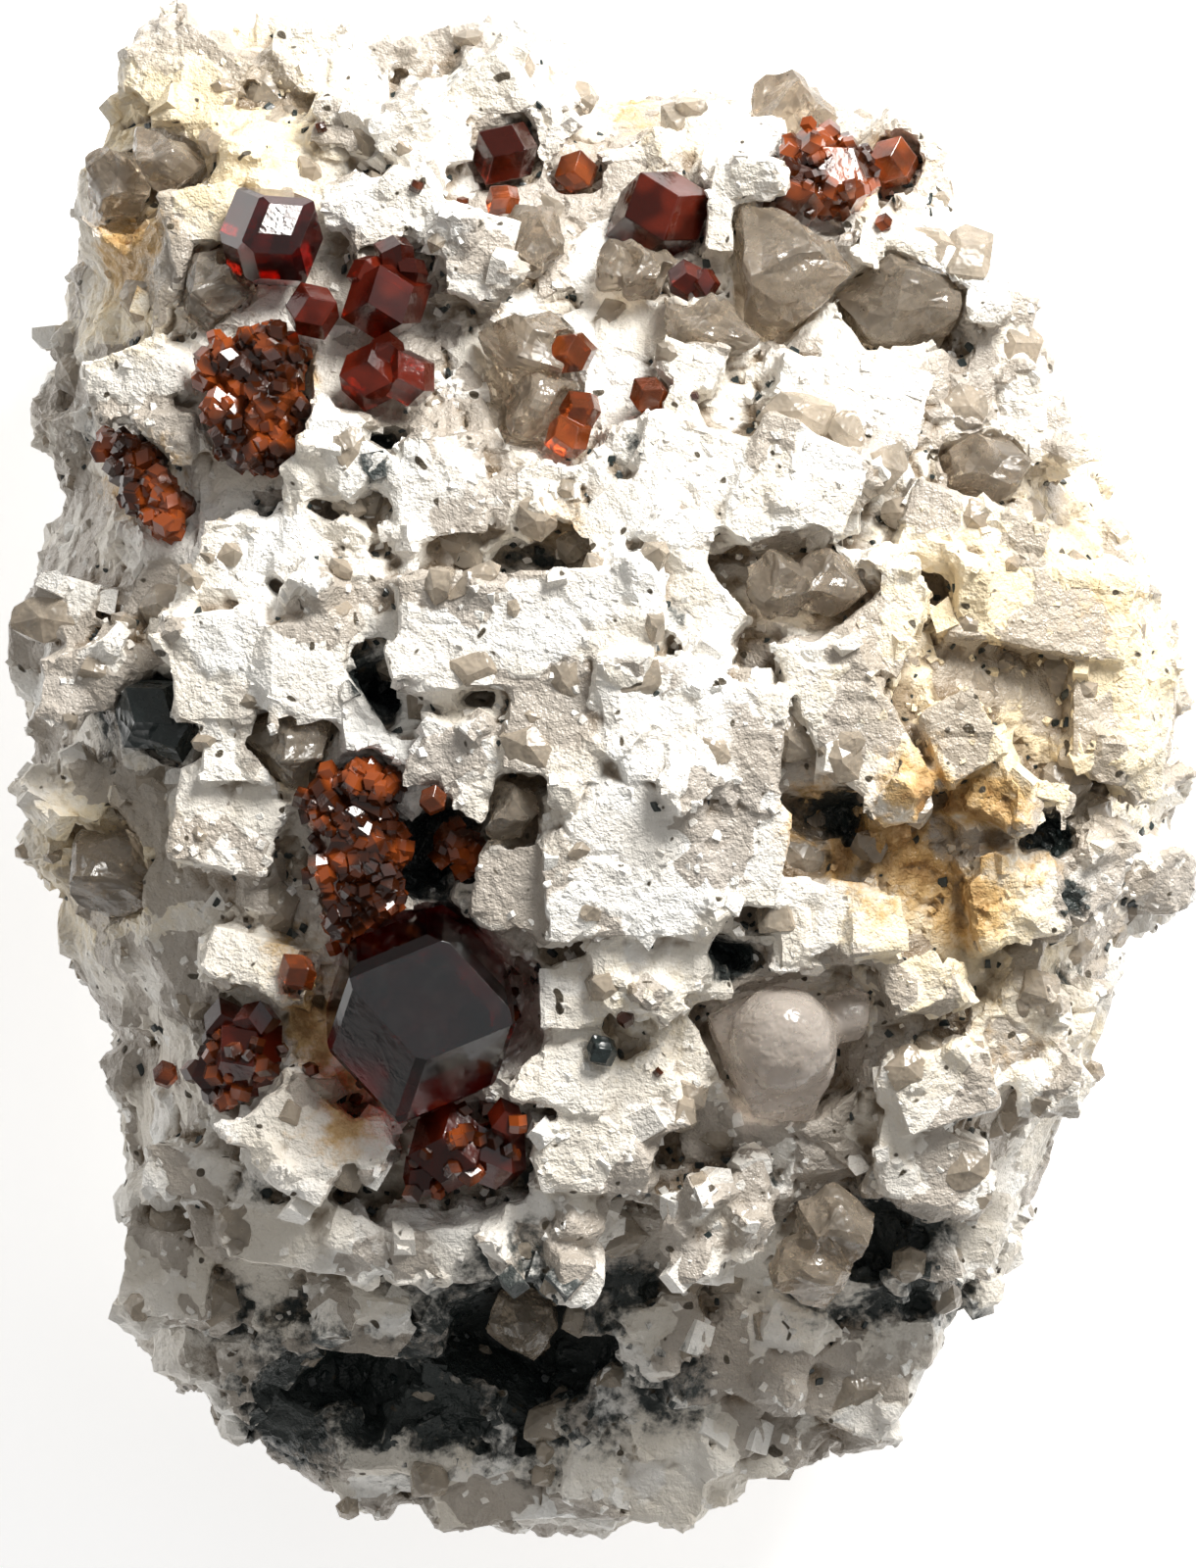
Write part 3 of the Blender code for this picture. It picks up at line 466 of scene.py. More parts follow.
# %% [markdown]
# Dirt and shade gather in hollows. How hollow a spot lies is its depth under a smoothed copy of
# the skin: a little smoothing finds the small crevices, and much of it the wide hollows.

# %% Hollows
NEAR_ROUNDS, FAR_ROUNDS = 14, 110
NEAR_DEPTH, FAR_DEPTH = 0.25 * MM, 1.0 * MM


def smoothed(points, ends, rounds):
    """Points moved to the middle of their neighbours, again and again."""
    count = np.bincount(ends.ravel(), minlength=len(points))[:, None]
    for _ in range(rounds):
        total = np.empty_like(points)
        for axis in range(3):
            ahead = np.bincount(ends[:, 0], points[ends[:, 1], axis], len(points))
            total[:, axis] = ahead + np.bincount(ends[:, 1], points[ends[:, 0], axis], len(points))
        points = total / count
    return points


def edges_of(mesh):
    ends = np.empty(len(mesh.edges) * 2, np.int32)
    mesh.edges.foreach_get("vertices", ends)
    return ends.reshape(-1, 2)


def hollows_of(mesh):
    """How far each vertex lies under its near surroundings, and under its wide surroundings."""
    points, ways, ends = points_of(mesh), normals_of(mesh), edges_of(mesh)
    near = smoothed(points, ends, NEAR_ROUNDS)
    far = smoothed(near, ends, FAR_ROUNDS)
    return ((near - points) * ways).sum(1) / NEAR_DEPTH, ((far - points) * ways).sum(1) / FAR_DEPTH


hollow, deep = hollows_of(rock_mesh)
print("deepest spots:", round(float(hollow.max()), 1), "near and", round(float(deep.max()), 1), "far")

# %% [markdown]
# The skin now has far more triangles than it needs where it is flat. A Decimate takes those away,
# to stay under 200,000. Each vertex that is left takes its stored values from the old one nearest
# to it, which a search tree finds.

# %% The finished skin
KEPT_SHARE = 0.405
skin_tree = kdtree.KDTree(len(rock_mesh.vertices))
for index, vert in enumerate(rock_mesh.vertices):
    skin_tree.insert(vert.co, index)
skin_tree.balance()
thin = rock.modifiers.new("fewer triangles", "DECIMATE")
thin.ratio = KEPT_SHARE
rock_mesh = applied(rock)
nearest = [skin_tree.find(vert.co)[1] for vert in rock_mesh.vertices]
store(rock_mesh, "hollow", hollow[nearest])
store(rock_mesh, "deep", deep[nearest])
for column, name in enumerate(("groove", "kind", "tone")):
    store(rock_mesh, name, crystals[nearest, column])
stain_and_shade(rock_mesh)
rock_mesh.calc_loop_triangles()
print("thinned skin:", len(rock_mesh.loop_triangles), "triangles")
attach(rock, "root")
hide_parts("matrix")

# %% [markdown]
# A material is a small network of nodes. Colours come from mixing a few plain colours by noise
# and by the stored values. This helper adds a node, sets its values and links its inputs, which
# keeps the recipes short.

# %% Helpers for materials
class Recipe:
    """A material under construction."""

    def __init__(self, name):
        self.material = bpy.data.materials.get(name) or bpy.data.materials.new(name)
        self.material.use_nodes = True
        self.tree = self.material.node_tree
        self.shader = self.tree.nodes["Principled BSDF"]
        self.place = self.node("ShaderNodeTexCoord").outputs["Object"]

    def node(self, kind, settings=None, **inputs):
        """A new node with its settings, and its inputs set to a value or linked."""
        made = self.tree.nodes.new(kind)
        for name, value in (settings or {}).items():
            setattr(made, name, value)
        for name, value in inputs.items():
            self.set(made, name.replace("_", " "), value)
        return made

    def set(self, node, name, value):
        socket = node.inputs[int(name)] if name.isdigit() else node.inputs[name]
        if isinstance(value, bpy.types.NodeSocket):
            self.tree.links.new(value, socket)
        else:
            socket.default_value = value

    def noise(self, scale, detail=3.0, roughness=0.55):
        """Soft random patches, about one of them in each metre divided by the scale."""
        made = self.node("ShaderNodeTexNoise", Scale=scale, Detail=detail, Roughness=roughness)
        self.set(made, "Vector", self.place)
        return made.outputs["Fac"]

    def cells(self, scale):
        """How far each place is from the seed of its cell."""
        made = self.node("ShaderNodeTexVoronoi", Scale=scale)
        self.set(made, "Vector", self.place)
        return made.outputs["Distance"]

    def stored(self, name):
        """A number that was stored on the vertices."""
        return self.node("ShaderNodeAttribute", {"attribute_name": name}).outputs["Fac"]

    def math(self, operation, a, b=0.0):
        made = self.node("ShaderNodeMath", {"operation": operation})
        self.set(made, "0", a)
        self.set(made, "1", b)
        return made.outputs[0]

    def ramp(self, value, low, high, bottom=0.0, top=1.0):
        """Runs evenly from bottom to top while the value goes from low to high."""
        made = self.node("ShaderNodeMapRange", {"interpolation_type": "SMOOTHSTEP"})
        for name, number in (("1", low), ("2", high), ("3", bottom), ("4", top)):
            self.set(made, name, number)
        self.set(made, "0", value)
        return made.outputs[0]

    def mix(self, share, first, second):
        """Lays the second colour over the first; this node finds its colour sockets by number."""
        made = self.node("ShaderNodeMix", {"data_type": "RGBA"})
        for name, value in (("0", share), ("6", first), ("7", second)):
            self.set(made, name, value)
        return made.outputs[2]

    def bump(self, height, distance, strength=1.0, under=None):
        """Fine relief in the shading alone, on top of another such relief if one is given."""
        made = self.node("ShaderNodeBump", Strength=strength, Distance=distance, Height=height)
        if under:
            self.set(made, "Normal", under)
        return made.outputs[0]

    def absorb(self, passed, density):
        """Lets mostly this colour through, the more so the deeper light goes."""
        inside = self.node("ShaderNodeVolumeAbsorption", Color=passed, Density=density)
        self.tree.links.new(inside.outputs[0], self.tree.nodes["Material Output"].inputs["Volume"])

    def finish(self, **inputs):
        """Sets or links the sockets of the shader itself."""
        for name, value in inputs.items():
            self.set(self.shader, name.replace("_", " "), value)
        return self.material


def colour(red, green, blue):
    return (red, green, blue, 1.0)

# %% [markdown]
# Fresh feldspar is chalky white with a faint warm tone. Its hollows and grooves are painted dark
# grey-brown, for dust and for the shade that falls in them, rust stains it yellow-brown, and
# green-black, for a dark mineral and for painted shade, lines the undercut, the pits and the deepest
# hollows. Each of these is a paint with a plain colour of its own.

# %% Colours of the rock
CHALK, WARM_WHITE = colour(0.90, 0.89, 0.86), colour(0.80, 0.765, 0.71)
DULL = colour(0.68, 0.61, 0.50)
CREAM = colour(0.80, 0.66, 0.42)
SMOKY, PALE_SMOKY = colour(0.30, 0.255, 0.205), colour(0.46, 0.41, 0.36)
RUST, DARK_RUST = colour(0.55, 0.33, 0.10), colour(0.24, 0.115, 0.03)
SHADE_AND_DUST = colour(0.18, 0.125, 0.07)
GREEN_BLACK_AND_SHADE = colour(0.014, 0.023, 0.023)
SPECK = colour(0.07, 0.055, 0.035)
print("chalk is", round(CHALK[0] / SHADE_AND_DUST[0], 1), "times as bright as dust in its red")

# %% [markdown]
# The paints are laid one over another like washes, from the broadest to the smallest. Each has a
# value that says where it goes, and grain noise is added to the value, so that its edge is ragged.
# A noise's scale is how many of its patches fit in a metre, so a scale of 1500 makes grains of two
# thirds of a millimetre. Grain too fine for the mesh is bump, at that size and at a fifth of one.

# %% Feldspar material
PATCHES, GRAINS, FINE_GRAINS = 260, 1500, 5200


def feldspar_material(name):
    look = Recipe(name)
    broad = look.noise(PATCHES, 2.0)
    grain = look.noise(GRAINS, 3.0, 0.7)
    fine = look.noise(FINE_GRAINS, 1.0, 0.7)
    ragged = look.math("MULTIPLY", look.math("SUBTRACT", grain, 0.5), 0.9)

    def patch(tone, value, low, high, most, paint):
        """Lays a paint over the tone where the value, made ragged by the grain, is high."""
        edge = look.math("ADD", value, ragged)
        return look.mix(look.ramp(edge, low, high, 0.0, most), tone, paint)

    tone = look.mix(look.ramp(broad, 0.35, 0.65), WARM_WHITE, CHALK)
    tone = look.mix(look.ramp(look.stored("tone"), 0.1, 0.9, 0.0, 0.55), tone, DULL)
    cream = look.math("ADD", look.stored("cream"), look.math("MULTIPLY", broad, 0.6))
    tone = patch(tone, cream, 0.6, 1.3, 0.85, CREAM)
    # Smoky quartz colour, where smoke or the painted shade of the lower end is stored.
    smoke_and_shade = look.math("MULTIPLY", look.stored("smoke_and_shade"), 0.45)
    quartz = look.math("SUBTRACT", look.math("ADD", 0.24, smoke_and_shade), look.stored("kind"))
    quartz = look.ramp(look.math("ADD", quartz, look.math("MULTIPLY", ragged, 0.25)), -0.04, 0.04)
    tone = look.mix(look.math("MULTIPLY", quartz, 0.85), tone, look.mix(broad, SMOKY, PALE_SMOKY))
    rust = look.math("MULTIPLY", look.stored("rust"), look.ramp(broad, 0.34, 0.56, 0.35, 1.1))
    tone = patch(tone, rust, 0.25, 0.8, 0.85, RUST)
    tone = patch(tone, rust, 0.65, 1.15, 0.9, DARK_RUST)
    # Painted shade and dust: the hollows, the wide hollows and the grooves between crystals are darkened.
    low = look.math("ADD", look.stored("hollow"), look.math("MULTIPLY", look.stored("deep"), 0.8))
    low = look.math("ADD", low, look.math("MULTIPLY", look.stored("groove"), 0.6))
    tone = patch(tone, low, 0.45, 2.1, 0.88, SHADE_AND_DUST)
    # Green-black, partly a dark mineral and partly painted shade in the undercut, the pits and the deepest
    # hollows.
    dark = look.math("ADD", look.stored("dark"), look.math("MULTIPLY", look.stored("deep"), 0.35))
    tone = patch(tone, dark, 0.45, 0.85, 0.97, GREEN_BLACK_AND_SHADE)
    specks = look.ramp(look.noise(1300, 0.0), 0.78, 0.82)
    tone = look.mix(specks, tone, SPECK)
    dull = look.ramp(grain, 0.3, 0.7, 0.45, 0.8)
    dull = look.math("SUBTRACT", dull, look.math("MULTIPLY", quartz, 0.3))
    coarse = look.bump(grain, 0.30 * MM, 0.7)
    relief = look.bump(fine, 0.12 * MM, 0.8, coarse)
    return look.finish(Base_Color=tone, Roughness=dull, Normal=relief)


feldspar = feldspar_material("feldspar rock")
rock.data.materials.clear()
rock.data.materials.append(feldspar)
print(feldspar.name, "has", len(feldspar.node_tree.nodes), "nodes")

# %% [markdown]
# On top of the fused skin stand crisp crystals, down to sugar size. They keep their sharp edges
# because they are not remeshed. They come in two pieces, one for the clearly seen crystals and
# one for the sugary grains between them.

# %% Crisp crystals and sugary grains
def strewn_piece(name, count, seed, sizes, **how):
    """One piece of strewn blocks, with the stored values that the rock's material reads."""
    bm = bmesh.new()
    made = strew_blocks(bm, rock_mesh, count, seed, sizes, **how)
    strewn_on = piece(name, bm, feldspar)
    stain_and_shade(strewn_on.data)
    total = len(strewn_on.data.vertices)
    for value, level in (("hollow", 0), ("deep", 0), ("groove", 0), ("kind", 1), ("tone", 0.3)):
        store(strewn_on.data, value, np.full(total, level))
    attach(strewn_on, "root")
    print(name, made, "crystals", len(strewn_on.data.polygons), "faces")
    return strewn_on


strewn_piece("feldspar_crystals", 1500, 31, (0.6, 1.4), tilt=0.3, sunk=0.5, keep=mostly_on_the_sides)
strewn_piece("feldspar_sugar", 5000, 32, (0.2, 0.45), tilt=0.6, sunk=0.3)

# %% [markdown]
# Garnet is clear dark red. Where a crystal is thin it glows orange-red, and where it is thick it
# is nearly black, which plain transmission with absorption gives by itself. The tiny crystals of
# the crusts are too thin to absorb much, so they are only tinted where light enters. The specular
# tint dims what a face mirrors, because the pale studio would make the dark faces grey.

# %% Garnet material
DEEP_RED = colour(0.86, 0.40, 0.08)


def garnet_material(name, base, density, rough, clear, dark_share, shine, wavy):
    """Red glass: patches down to a dark share of the base, and fine waves on its faces."""
    gem = Recipe(name)
    flaws = gem.noise(900, 2.0, 0.6)
    dim = tuple(dark_share * part for part in base[:3]) + (1.0,)
    tint = gem.mix(gem.ramp(gem.noise(420, 1.0), 0.38, 0.56), base, dim)
    dull = gem.ramp(flaws, 0.3, 0.75, rough, rough + 0.16)
    waves = gem.bump(gem.noise(2000, 2.0), 0.05 * MM, 0.5 * wavy)
    if density:
        gem.absorb(DEEP_RED, density)
    return gem.finish(Base_Color=tint, Roughness=dull, Normal=waves, IOR=1.8,
                      Specular_Tint=colour(shine, shine, shine), Transmission_Weight=clear)


dark_garnet = garnet_material("dark garnet", colour(0.58, 0.13, 0.10), density=1000.0, rough=0.06,
                              clear=1.0, dark_share=0.5, shine=0.5, wavy=0.25)
wine_garnet = garnet_material("wine garnet", colour(0.20, 0.03, 0.03), density=900.0, rough=0.06,
                              clear=0.85, dark_share=0.4, shine=0.8, wavy=0.4)
red_garnet = garnet_material("red garnet", colour(0.20, 0.022, 0.008), density=500.0, rough=0.06,
                             clear=0.6, dark_share=0.35, shine=0.45, wavy=1.0)
orange_garnet = garnet_material("orange garnet", colour(0.58, 0.14, 0.03), density=350.0, rough=0.08,
                                clear=0.7, dark_share=0.45, shine=0.6, wavy=1.0)
crust_garnet = garnet_material("crust garnet", colour(0.36, 0.075, 0.014), density=0.0, rough=0.08,
                               clear=0.35, dark_share=0.14, shine=0.7, wavy=1.0)
print("garnet finishes:", dark_garnet.name, wine_garnet.name, red_garnet.name, orange_garnet.name)

# %% [markdown]
# On the specimen the largest garnet is nearly black and the next one wine red, some small ones
# are orange, and a few nodes are crusts of tiny crystals. The lists say which is which; all other
# garnets are red.

# %% Which garnets are large, orange or crusts
LARGE = ("large_garnet", "upper_left_garnet")
ORANGE = ("amber_garnet", "top_orange_garnet", "left_orange_garnet", "quartz_foot_garnet", "block_garnet",
          "ledge_garnet", "corner_garnet", "hollow_garnets", "far_left_garnet", "quartz_side_garnet")
CRUSTS = ("upper_left_druse", "far_left_druse", "middle_druse", "top_right_garnets")
print(len(LARGE), "large,", len(ORANGE), "orange,", len(CRUSTS), "crusts")

# %% [markdown]
# The largest garnet shows its growth well: twelve rhombic faces, one of them nearer the middle
# and so larger, with narrow faces along the edges between them, wider on its far side. It is cut
# from a cube by planes whose directions follow from how two of its faces lie.

# %% The large garnet
LARGE_MIDDLE = Vector((-8.8, -11.3, 0))
TOP_FACE = Vector((0.17, 0.20, 0.96)).normalized()
SIDE_FACE = Vector((-0.55, -0.48, 0.68))
FACE_AWAY, TOP_AWAY = 4.35, 3.8
FAR_SIDE = Vector((0.60, 0.75, 0.1))
EDGE_AWAY, FAR_EDGE_AWAY = 4.85, 4.5


def large_garnet_planes():
    """The normals and distances of the faces, in millimetres from the middle."""
    side = (SIDE_FACE - SIDE_FACE.dot(TOP_FACE) * TOP_FACE).normalized() * math.sqrt(0.75) + 0.5 * TOP_FACE
    seen = Matrix((TOP_FACE, side, TOP_FACE.cross(side))).transposed()
    top_way, side_way = Vector((1, 0, 1)).normalized(), Vector((1, 1, 0)).normalized()
    grown = Matrix((top_way, side_way, top_way.cross(side_way))).transposed()
    turn = seen @ grown.inverted()
    signs = [(a, b) for a in (-1, 1) for b in (-1, 1)]
    rhombs = [Vector(way) for a, b in signs for way in ((a, b, 0), (a, 0, b), (0, a, b))]
    narrow = [Vector(way) for a, b in signs for c in (-2, 2) for way in ((a, b, c), (a, c, b), (c, a, b))]
    planes = [(turn @ way.normalized(), FACE_AWAY) for way in rhombs]
    planes = [(way, TOP_AWAY if way.dot(TOP_FACE) > 0.99 else away) for way, away in planes]
    narrow = [turn @ way.normalized() for way in narrow]
    return planes + [(way, FAR_EDGE_AWAY if way.dot(FAR_SIDE) > 0.3 else EDGE_AWAY) for way in narrow]


def large_garnet_mesh():
    """The large garnet, set so that its top is as high as the solid's."""
    corners = [vert.co for vert in NODES["large_garnet"].data.vertices]
    top, foot = max(co.z for co in corners), min(co.z for co in corners)
    bm = bmesh.new()
    bmesh.ops.create_cube(bm, size=20.0)
    for way, away in large_garnet_planes():
        cut_away(bm, way, away)
    reach = max(vert.co.z for vert in bm.verts)
    place = Matrix.Translation(LARGE_MIDDLE * MM + Vector((0, 0, top - reach * MM))) @ Matrix.Scale(MM, 4)
    bmesh.ops.transform(bm, matrix=place, verts=bm.verts[:])
    print("large garnet: solid from", round(foot / MM, 1), "to", round(top / MM, 1), "mm")
    return bm

# %% [markdown]
# Each garnet keeps the form of its solid. Its flat faces are joined again, and its edges get a
# narrow bevel that catches the light, because no natural edge is perfectly sharp.

# %% Garnets
def faceted(node, width):
    """The node's solid with whole faces again, and a narrow bevel along their edges."""
    bm = large_garnet_mesh() if node == "large_garnet" else solid_copy(node)
    bmesh.ops.dissolve_limit(bm, angle_limit=math.radians(1.0), verts=bm.verts[:], edges=bm.edges[:])
    bmesh.ops.bevel(bm, geom=bm.edges[:], offset=width, offset_type="OFFSET", segments=2, profile=0.5,
                    affect="EDGES", clamp_overlap=True, material=-1)
    return bm


LARGE_BEVEL, SMALL_BEVEL = 0.09 * MM, 0.05 * MM
for node in GARNETS:
    width = LARGE_BEVEL if node in LARGE else SMALL_BEVEL
    finish = dark_garnet if node in LARGE else orange_garnet if node in ORANGE else red_garnet
    finish = crust_garnet if node in CRUSTS else finish
    finish = wine_garnet if node == "upper_left_garnet" else finish
    gem = piece("fine_" + node, faceted(node, width), finish)
    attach(gem, "root")
    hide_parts(node)
print("garnets dressed:", len(GARNETS))

# %% [markdown]
# Smoky quartz is grey-brown glass with cloudy flaws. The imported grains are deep, so light is
# absorbed along its way through them. The small ones are cloudy and only tinted.

# %% Quartz material
DEEP_SMOKE = colour(0.66, 0.54, 0.36)


def quartz_material(name, base, density=0.0, clear=0.8, dim_share=0.62):
    """Cloudy glass; without a density it is only tinted where light enters."""
    glassy = Recipe(name)
    cloud = glassy.noise(700, 3.0, 0.6)
    dim = tuple(dim_share * part for part in base[:3]) + (1.0,)
    tint = glassy.mix(glassy.ramp(cloud, 0.35, 0.7), base, dim)
    dull = glassy.ramp(cloud, 0.3, 0.7, 0.10, 0.42)
    dents = glassy.bump(glassy.noise(1100, 2.0, 0.65), 0.25 * MM, 0.75)
    if density:
        glassy.absorb(DEEP_SMOKE, density)
    return glassy.finish(Base_Color=tint, Roughness=dull, Normal=dents, IOR=1.54, Transmission_Weight=clear)


smoky_quartz = quartz_material("smoky quartz", colour(0.72, 0.62, 0.50), density=100.0)
rose_quartz = quartz_material("rose quartz", colour(1.0, 0.90, 0.81), clear=0.7, dim_share=0.86)
cloudy_quartz = quartz_material("cloudy quartz", colour(0.62, 0.53, 0.42), clear=0.5)
print("quartz finishes:", smoky_quartz.name, rose_quartz.name, cloudy_quartz.name)

# %% [markdown]
# The quartz has no crystal faces here: it broke in shallow curved facets. Each solid is
# subdivided, worn a little at its edges and pressed in by round cells.

# %% Broken quartz grains
DOMED = "rose_quartz_grain"


def round_off(bm, rounds):
    """Wears edges down by moving each vertex towards its neighbours."""
    ways = {"use_axis_x": True, "use_axis_y": True, "use_axis_z": True}
    for _ in range(rounds):
        bmesh.ops.smooth_vert(bm, verts=bm.verts[:], factor=0.5, **ways)


def chipped(bm, size, depth, seed):
    """Presses shallow round facets into a skin, in place."""
    shift = Vector((seed, 2 * seed, 3 * seed))
    bm.normal_update()
    for vert in bm.verts:
        near = noise.voronoi(vert.co / size + shift)[0]
        push = (near[0] - 0.45) * depth - 0.15 * depth
        vert.co -= vert.normal * max(-0.3 * depth, -push)


def broken_grain(node, seed):
    """The node's solid with worn edges and curved facets."""
    bm = solid_copy(node)
    bmesh.ops.subdivide_edges(bm, edges=bm.edges[:], cuts=3, use_grid_fill=True)
    round_off(bm, 1)
    chipped(bm, 1.5 * MM, 0.8 * MM, seed)
    return bm


for seed, node in enumerate(QUARTZ):
    if node != DOMED:
        grain = piece("fine_" + node, broken_grain(node, seed), smoky_quartz)
        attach(grain, "root")
        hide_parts(node)
print("quartz grains dressed:", len(QUARTZ) - 1)

# %% [markdown]
# The pale pinkish grain is the odd one out: a glassy dome, worn round, on a blunt base. A ball is
# set on the lowered solid, a voxel Remesh joins the two, and a few rounds of smoothing wear it.

# %% The domed pale grain
DOME_X, DOME_Y, DOME_RADIUS = 9.25 * MM, -12.8 * MM, 2.75 * MM
BASE_SHARE = 0.78
DOME_VOXEL = 0.2 * MM


def domed_grain(node):
    """The solid, lowered to a share of its height, with a ball that reaches its old top."""
    bm = solid_copy(node)
    heights = points_of(NODES[node].data)[:, 2]
    foot, top = heights.min(), heights.max()
    down, up = Matrix.Translation((0, 0, -foot)), Matrix.Translation((0, 0, foot))
    lower = up @ Matrix.Scale(BASE_SHARE, 4, (0, 0, 1)) @ down
    bmesh.ops.transform(bm, matrix=lower, verts=bm.verts[:])
    middle = Matrix.Translation((DOME_X, DOME_Y, top - DOME_RADIUS))
    bmesh.ops.create_icosphere(bm, subdivisions=4, radius=DOME_RADIUS, matrix=middle)
    made = piece("fine_" + node, bm, rose_quartz)
    mesh = one_skin(made, DOME_VOXEL)
    bm = bmesh.new()
    bm.from_mesh(mesh)
    round_off(bm, 6)
    chipped(bm, 1.7 * MM, 0.22 * MM, 9)
    bm.to_mesh(mesh)
    bm.free()
    mesh.polygons.foreach_set("use_smooth", [True] * len(mesh.polygons))
    print(node, len(mesh.polygons), "faces, top at", round(points_of(mesh)[:, 2].max() / MM, 2), "mm")
    return made


dome = domed_grain(DOMED)
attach(dome, "root")
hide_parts(DOMED)

# %% [markdown]
# Between the feldspar crystals, the rock is full of smaller quartz grains, nearly flush with it.
# Those that can be told apart are placed one by one: x, y, width and height as seen from above, in
# millimetres, and a turn in degrees.

# %% Where the quartz grains are
QUARTZ_GRAINS = [
    (-1.5, 5.0, 3.0, 2.4, 20), (2.2, 5.3, 3.1, 2.4, -20), (-6.0, 5.6, 3.2, 2.2, 10),
    (-3.5, 1.8, 2.6, 3.2, 10), (-6.4, 10.0, 3.6, 1.5, 0), (-6.8, 12.0, 2.4, 3.0, 0),
    (-1.0, 12.0, 2.0, 2.9, 10), (-3.1, 13.2, 2.4, 2.4, 0), (5.8, 1.8, 2.2, 1.4, 15),
    (18.5, 8.0, 1.6, 2.0, 10), (19.7, 6.8, 1.2, 1.8, 0), (19.2, 5.0, 2.4, 1.8, 20),
    (23.4, 5.4, 3.4, 2.6, 20), (9.6, 2.4, 3.4, 2.6, 20), (12.2, 1.2, 3.0, 2.4, -20),
    (0.9, -22.5, 3.2, 4.0, 0), (6.5, -25.2, 2.2, 2.2, 0), (-22.0, 9.0, 2.8, 2.6, 10),
    (-22.2, 0.4, 3.6, 3.4, 0), (-22.9, -3.6, 4.6, 3.4, -20), (-25.0, 31.0, 3.0, 3.2, 0),
    (-17.2, 35.4, 2.1, 3.0, 0), (-16.0, -6.2, 3.0, 2.6, 10), (-16.2, -4.2, 2.6, 2.0, 0),
    (10.2, -3.7, 2.2, 2.6, 0), (9.0, -6.6, 2.4, 2.6, 20), (24.2, -8.4, 2.0, 2.6, 10),
    (10.0, 18.4, 4.4, 2.8, 30), (12.4, 17.4, 2.4, 3.4, 40), (14.2, 15.8, 2.4, 4.0, 30),
    (15.2, 13.6, 1.8, 2.6, 10), (18.6, 19.0, 2.6, 2.8, 0), (-5.2, 18.4, 2.0, 2.6, 10),
    (0.8, 26.0, 1.8, 2.6, 0), (7.4, -10.9, 3.0, 2.4, 0), (4.5, -15.7, 2.6, 2.0, 0),
    (6.0, -17.6, 2.8, 2.2, 20), (-9.0, 4.0, 1.6, 4.0, 10), (0.6, 23.6, 2.0, 2.3, 0),
    (23.5, 0.0, 3.2, 2.8, 10), (21.5, -16.4, 3.4, 2.4, 0), (13.0, -31.0, 5.0, 3.0, 20),
    (-21.5, -22.4, 3.2, 3.0, 0), (-19.5, -26.0, 3.2, 3.0, 30), (-2.5, -32.4, 3.4, 2.2, 0),
    (-26.8, 21.0, 2.6, 3.0, 0), (-28.0, 8.4, 2.6, 4.4, 0), (-23.4, 24.4, 2.6, 2.6, 0),
    (-11.6, 32.4, 2.2, 2.0, 0), (-2.6, 29.0, 2.4, 2.2, 0), (16.8, 27.4, 2.6, 2.2, 0),
    (18.9, 27.0, 3.0, 4.0, 0), (21.2, 22.2, 2.8, 3.2, 10), (-15.4, 1.8, 3.0, 3.6, 10),
    (15.4, -14.2, 2.6, 2.2, 0), (18.6, -19.4, 3.0, 2.2, 0), (-12.6, -19.4, 2.2, 2.6, 0),
    (-18.2, -22.4, 2.8, 2.4, 10), (1.6, -12.9, 2.0, 1.6, 0), (-9.8, -8.2, 1.8, 2.0, 0),
]
print("placed quartz grains:", len(QUARTZ_GRAINS))

# %% [markdown]
# Each grain is a ball cut flat from a few sides, so that it has blunt corners. Nine such forms are
# enough, because every copy is stretched and turned. A ray from above finds the rock under a place.

# %% Grain forms and the ground under them
RAY_HEIGHT = 0.06


def grain_form(chance):
    """A ball of unit width, cut flat from some sides."""
    bm = bmesh.new()
    bmesh.ops.create_icosphere(bm, subdivisions=1, radius=0.56)
    for _ in range(9):
        cut_away(bm, [chance.gauss(0, 1) for _ in range(3)], chance.uniform(0.31, 0.44))
    return mesh_of("grain form", bm)


GRAIN_FORMS = [grain_form(form_chance) for _ in range(9)]
skin_points = [vert.co for vert in rock_mesh.vertices]
skin_faces = [face.vertices for face in rock_mesh.polygons]
rock_skin = bvhtree.BVHTree.FromPolygons(skin_points, skin_faces)


def ground(x, y):
    """The top of the rock under a place given in millimetres, and which way it faces."""
    spot, way, _, _ = rock_skin.ray_cast(Vector((x * MM, y * MM, RAY_HEIGHT)), Vector((0, 0, -1)))
    return spot, way


def level_ground(x, y, reach):
    """The middle height and the mean tilt of nine spots of rock round a place."""
    found = [ground(x + i * reach, y + j * reach) for i in (-1, 0, 1) for j in (-1, 0, 1)]
    found = [(spot, way) for spot, way in found if spot]
    if not found:
        return None, None
    heights = sorted(spot.z for spot, _ in found)
    way = sum((way for _, way in found), Vector((0, 0, 0.001))).normalized()
    return Vector((x * MM, y * MM, heights[len(heights) // 2])), way


print("ground at the middle:", round(ground(0, 0)[0].z / MM, 1), "mm")

# %% [markdown]
# The placed grains lean with the rock round them. The middle of each lies a quarter of its
# thickness under the surface, so that it stands out only a little. A bevel takes the sharpness off
# them, and smaller ones are strewn between.

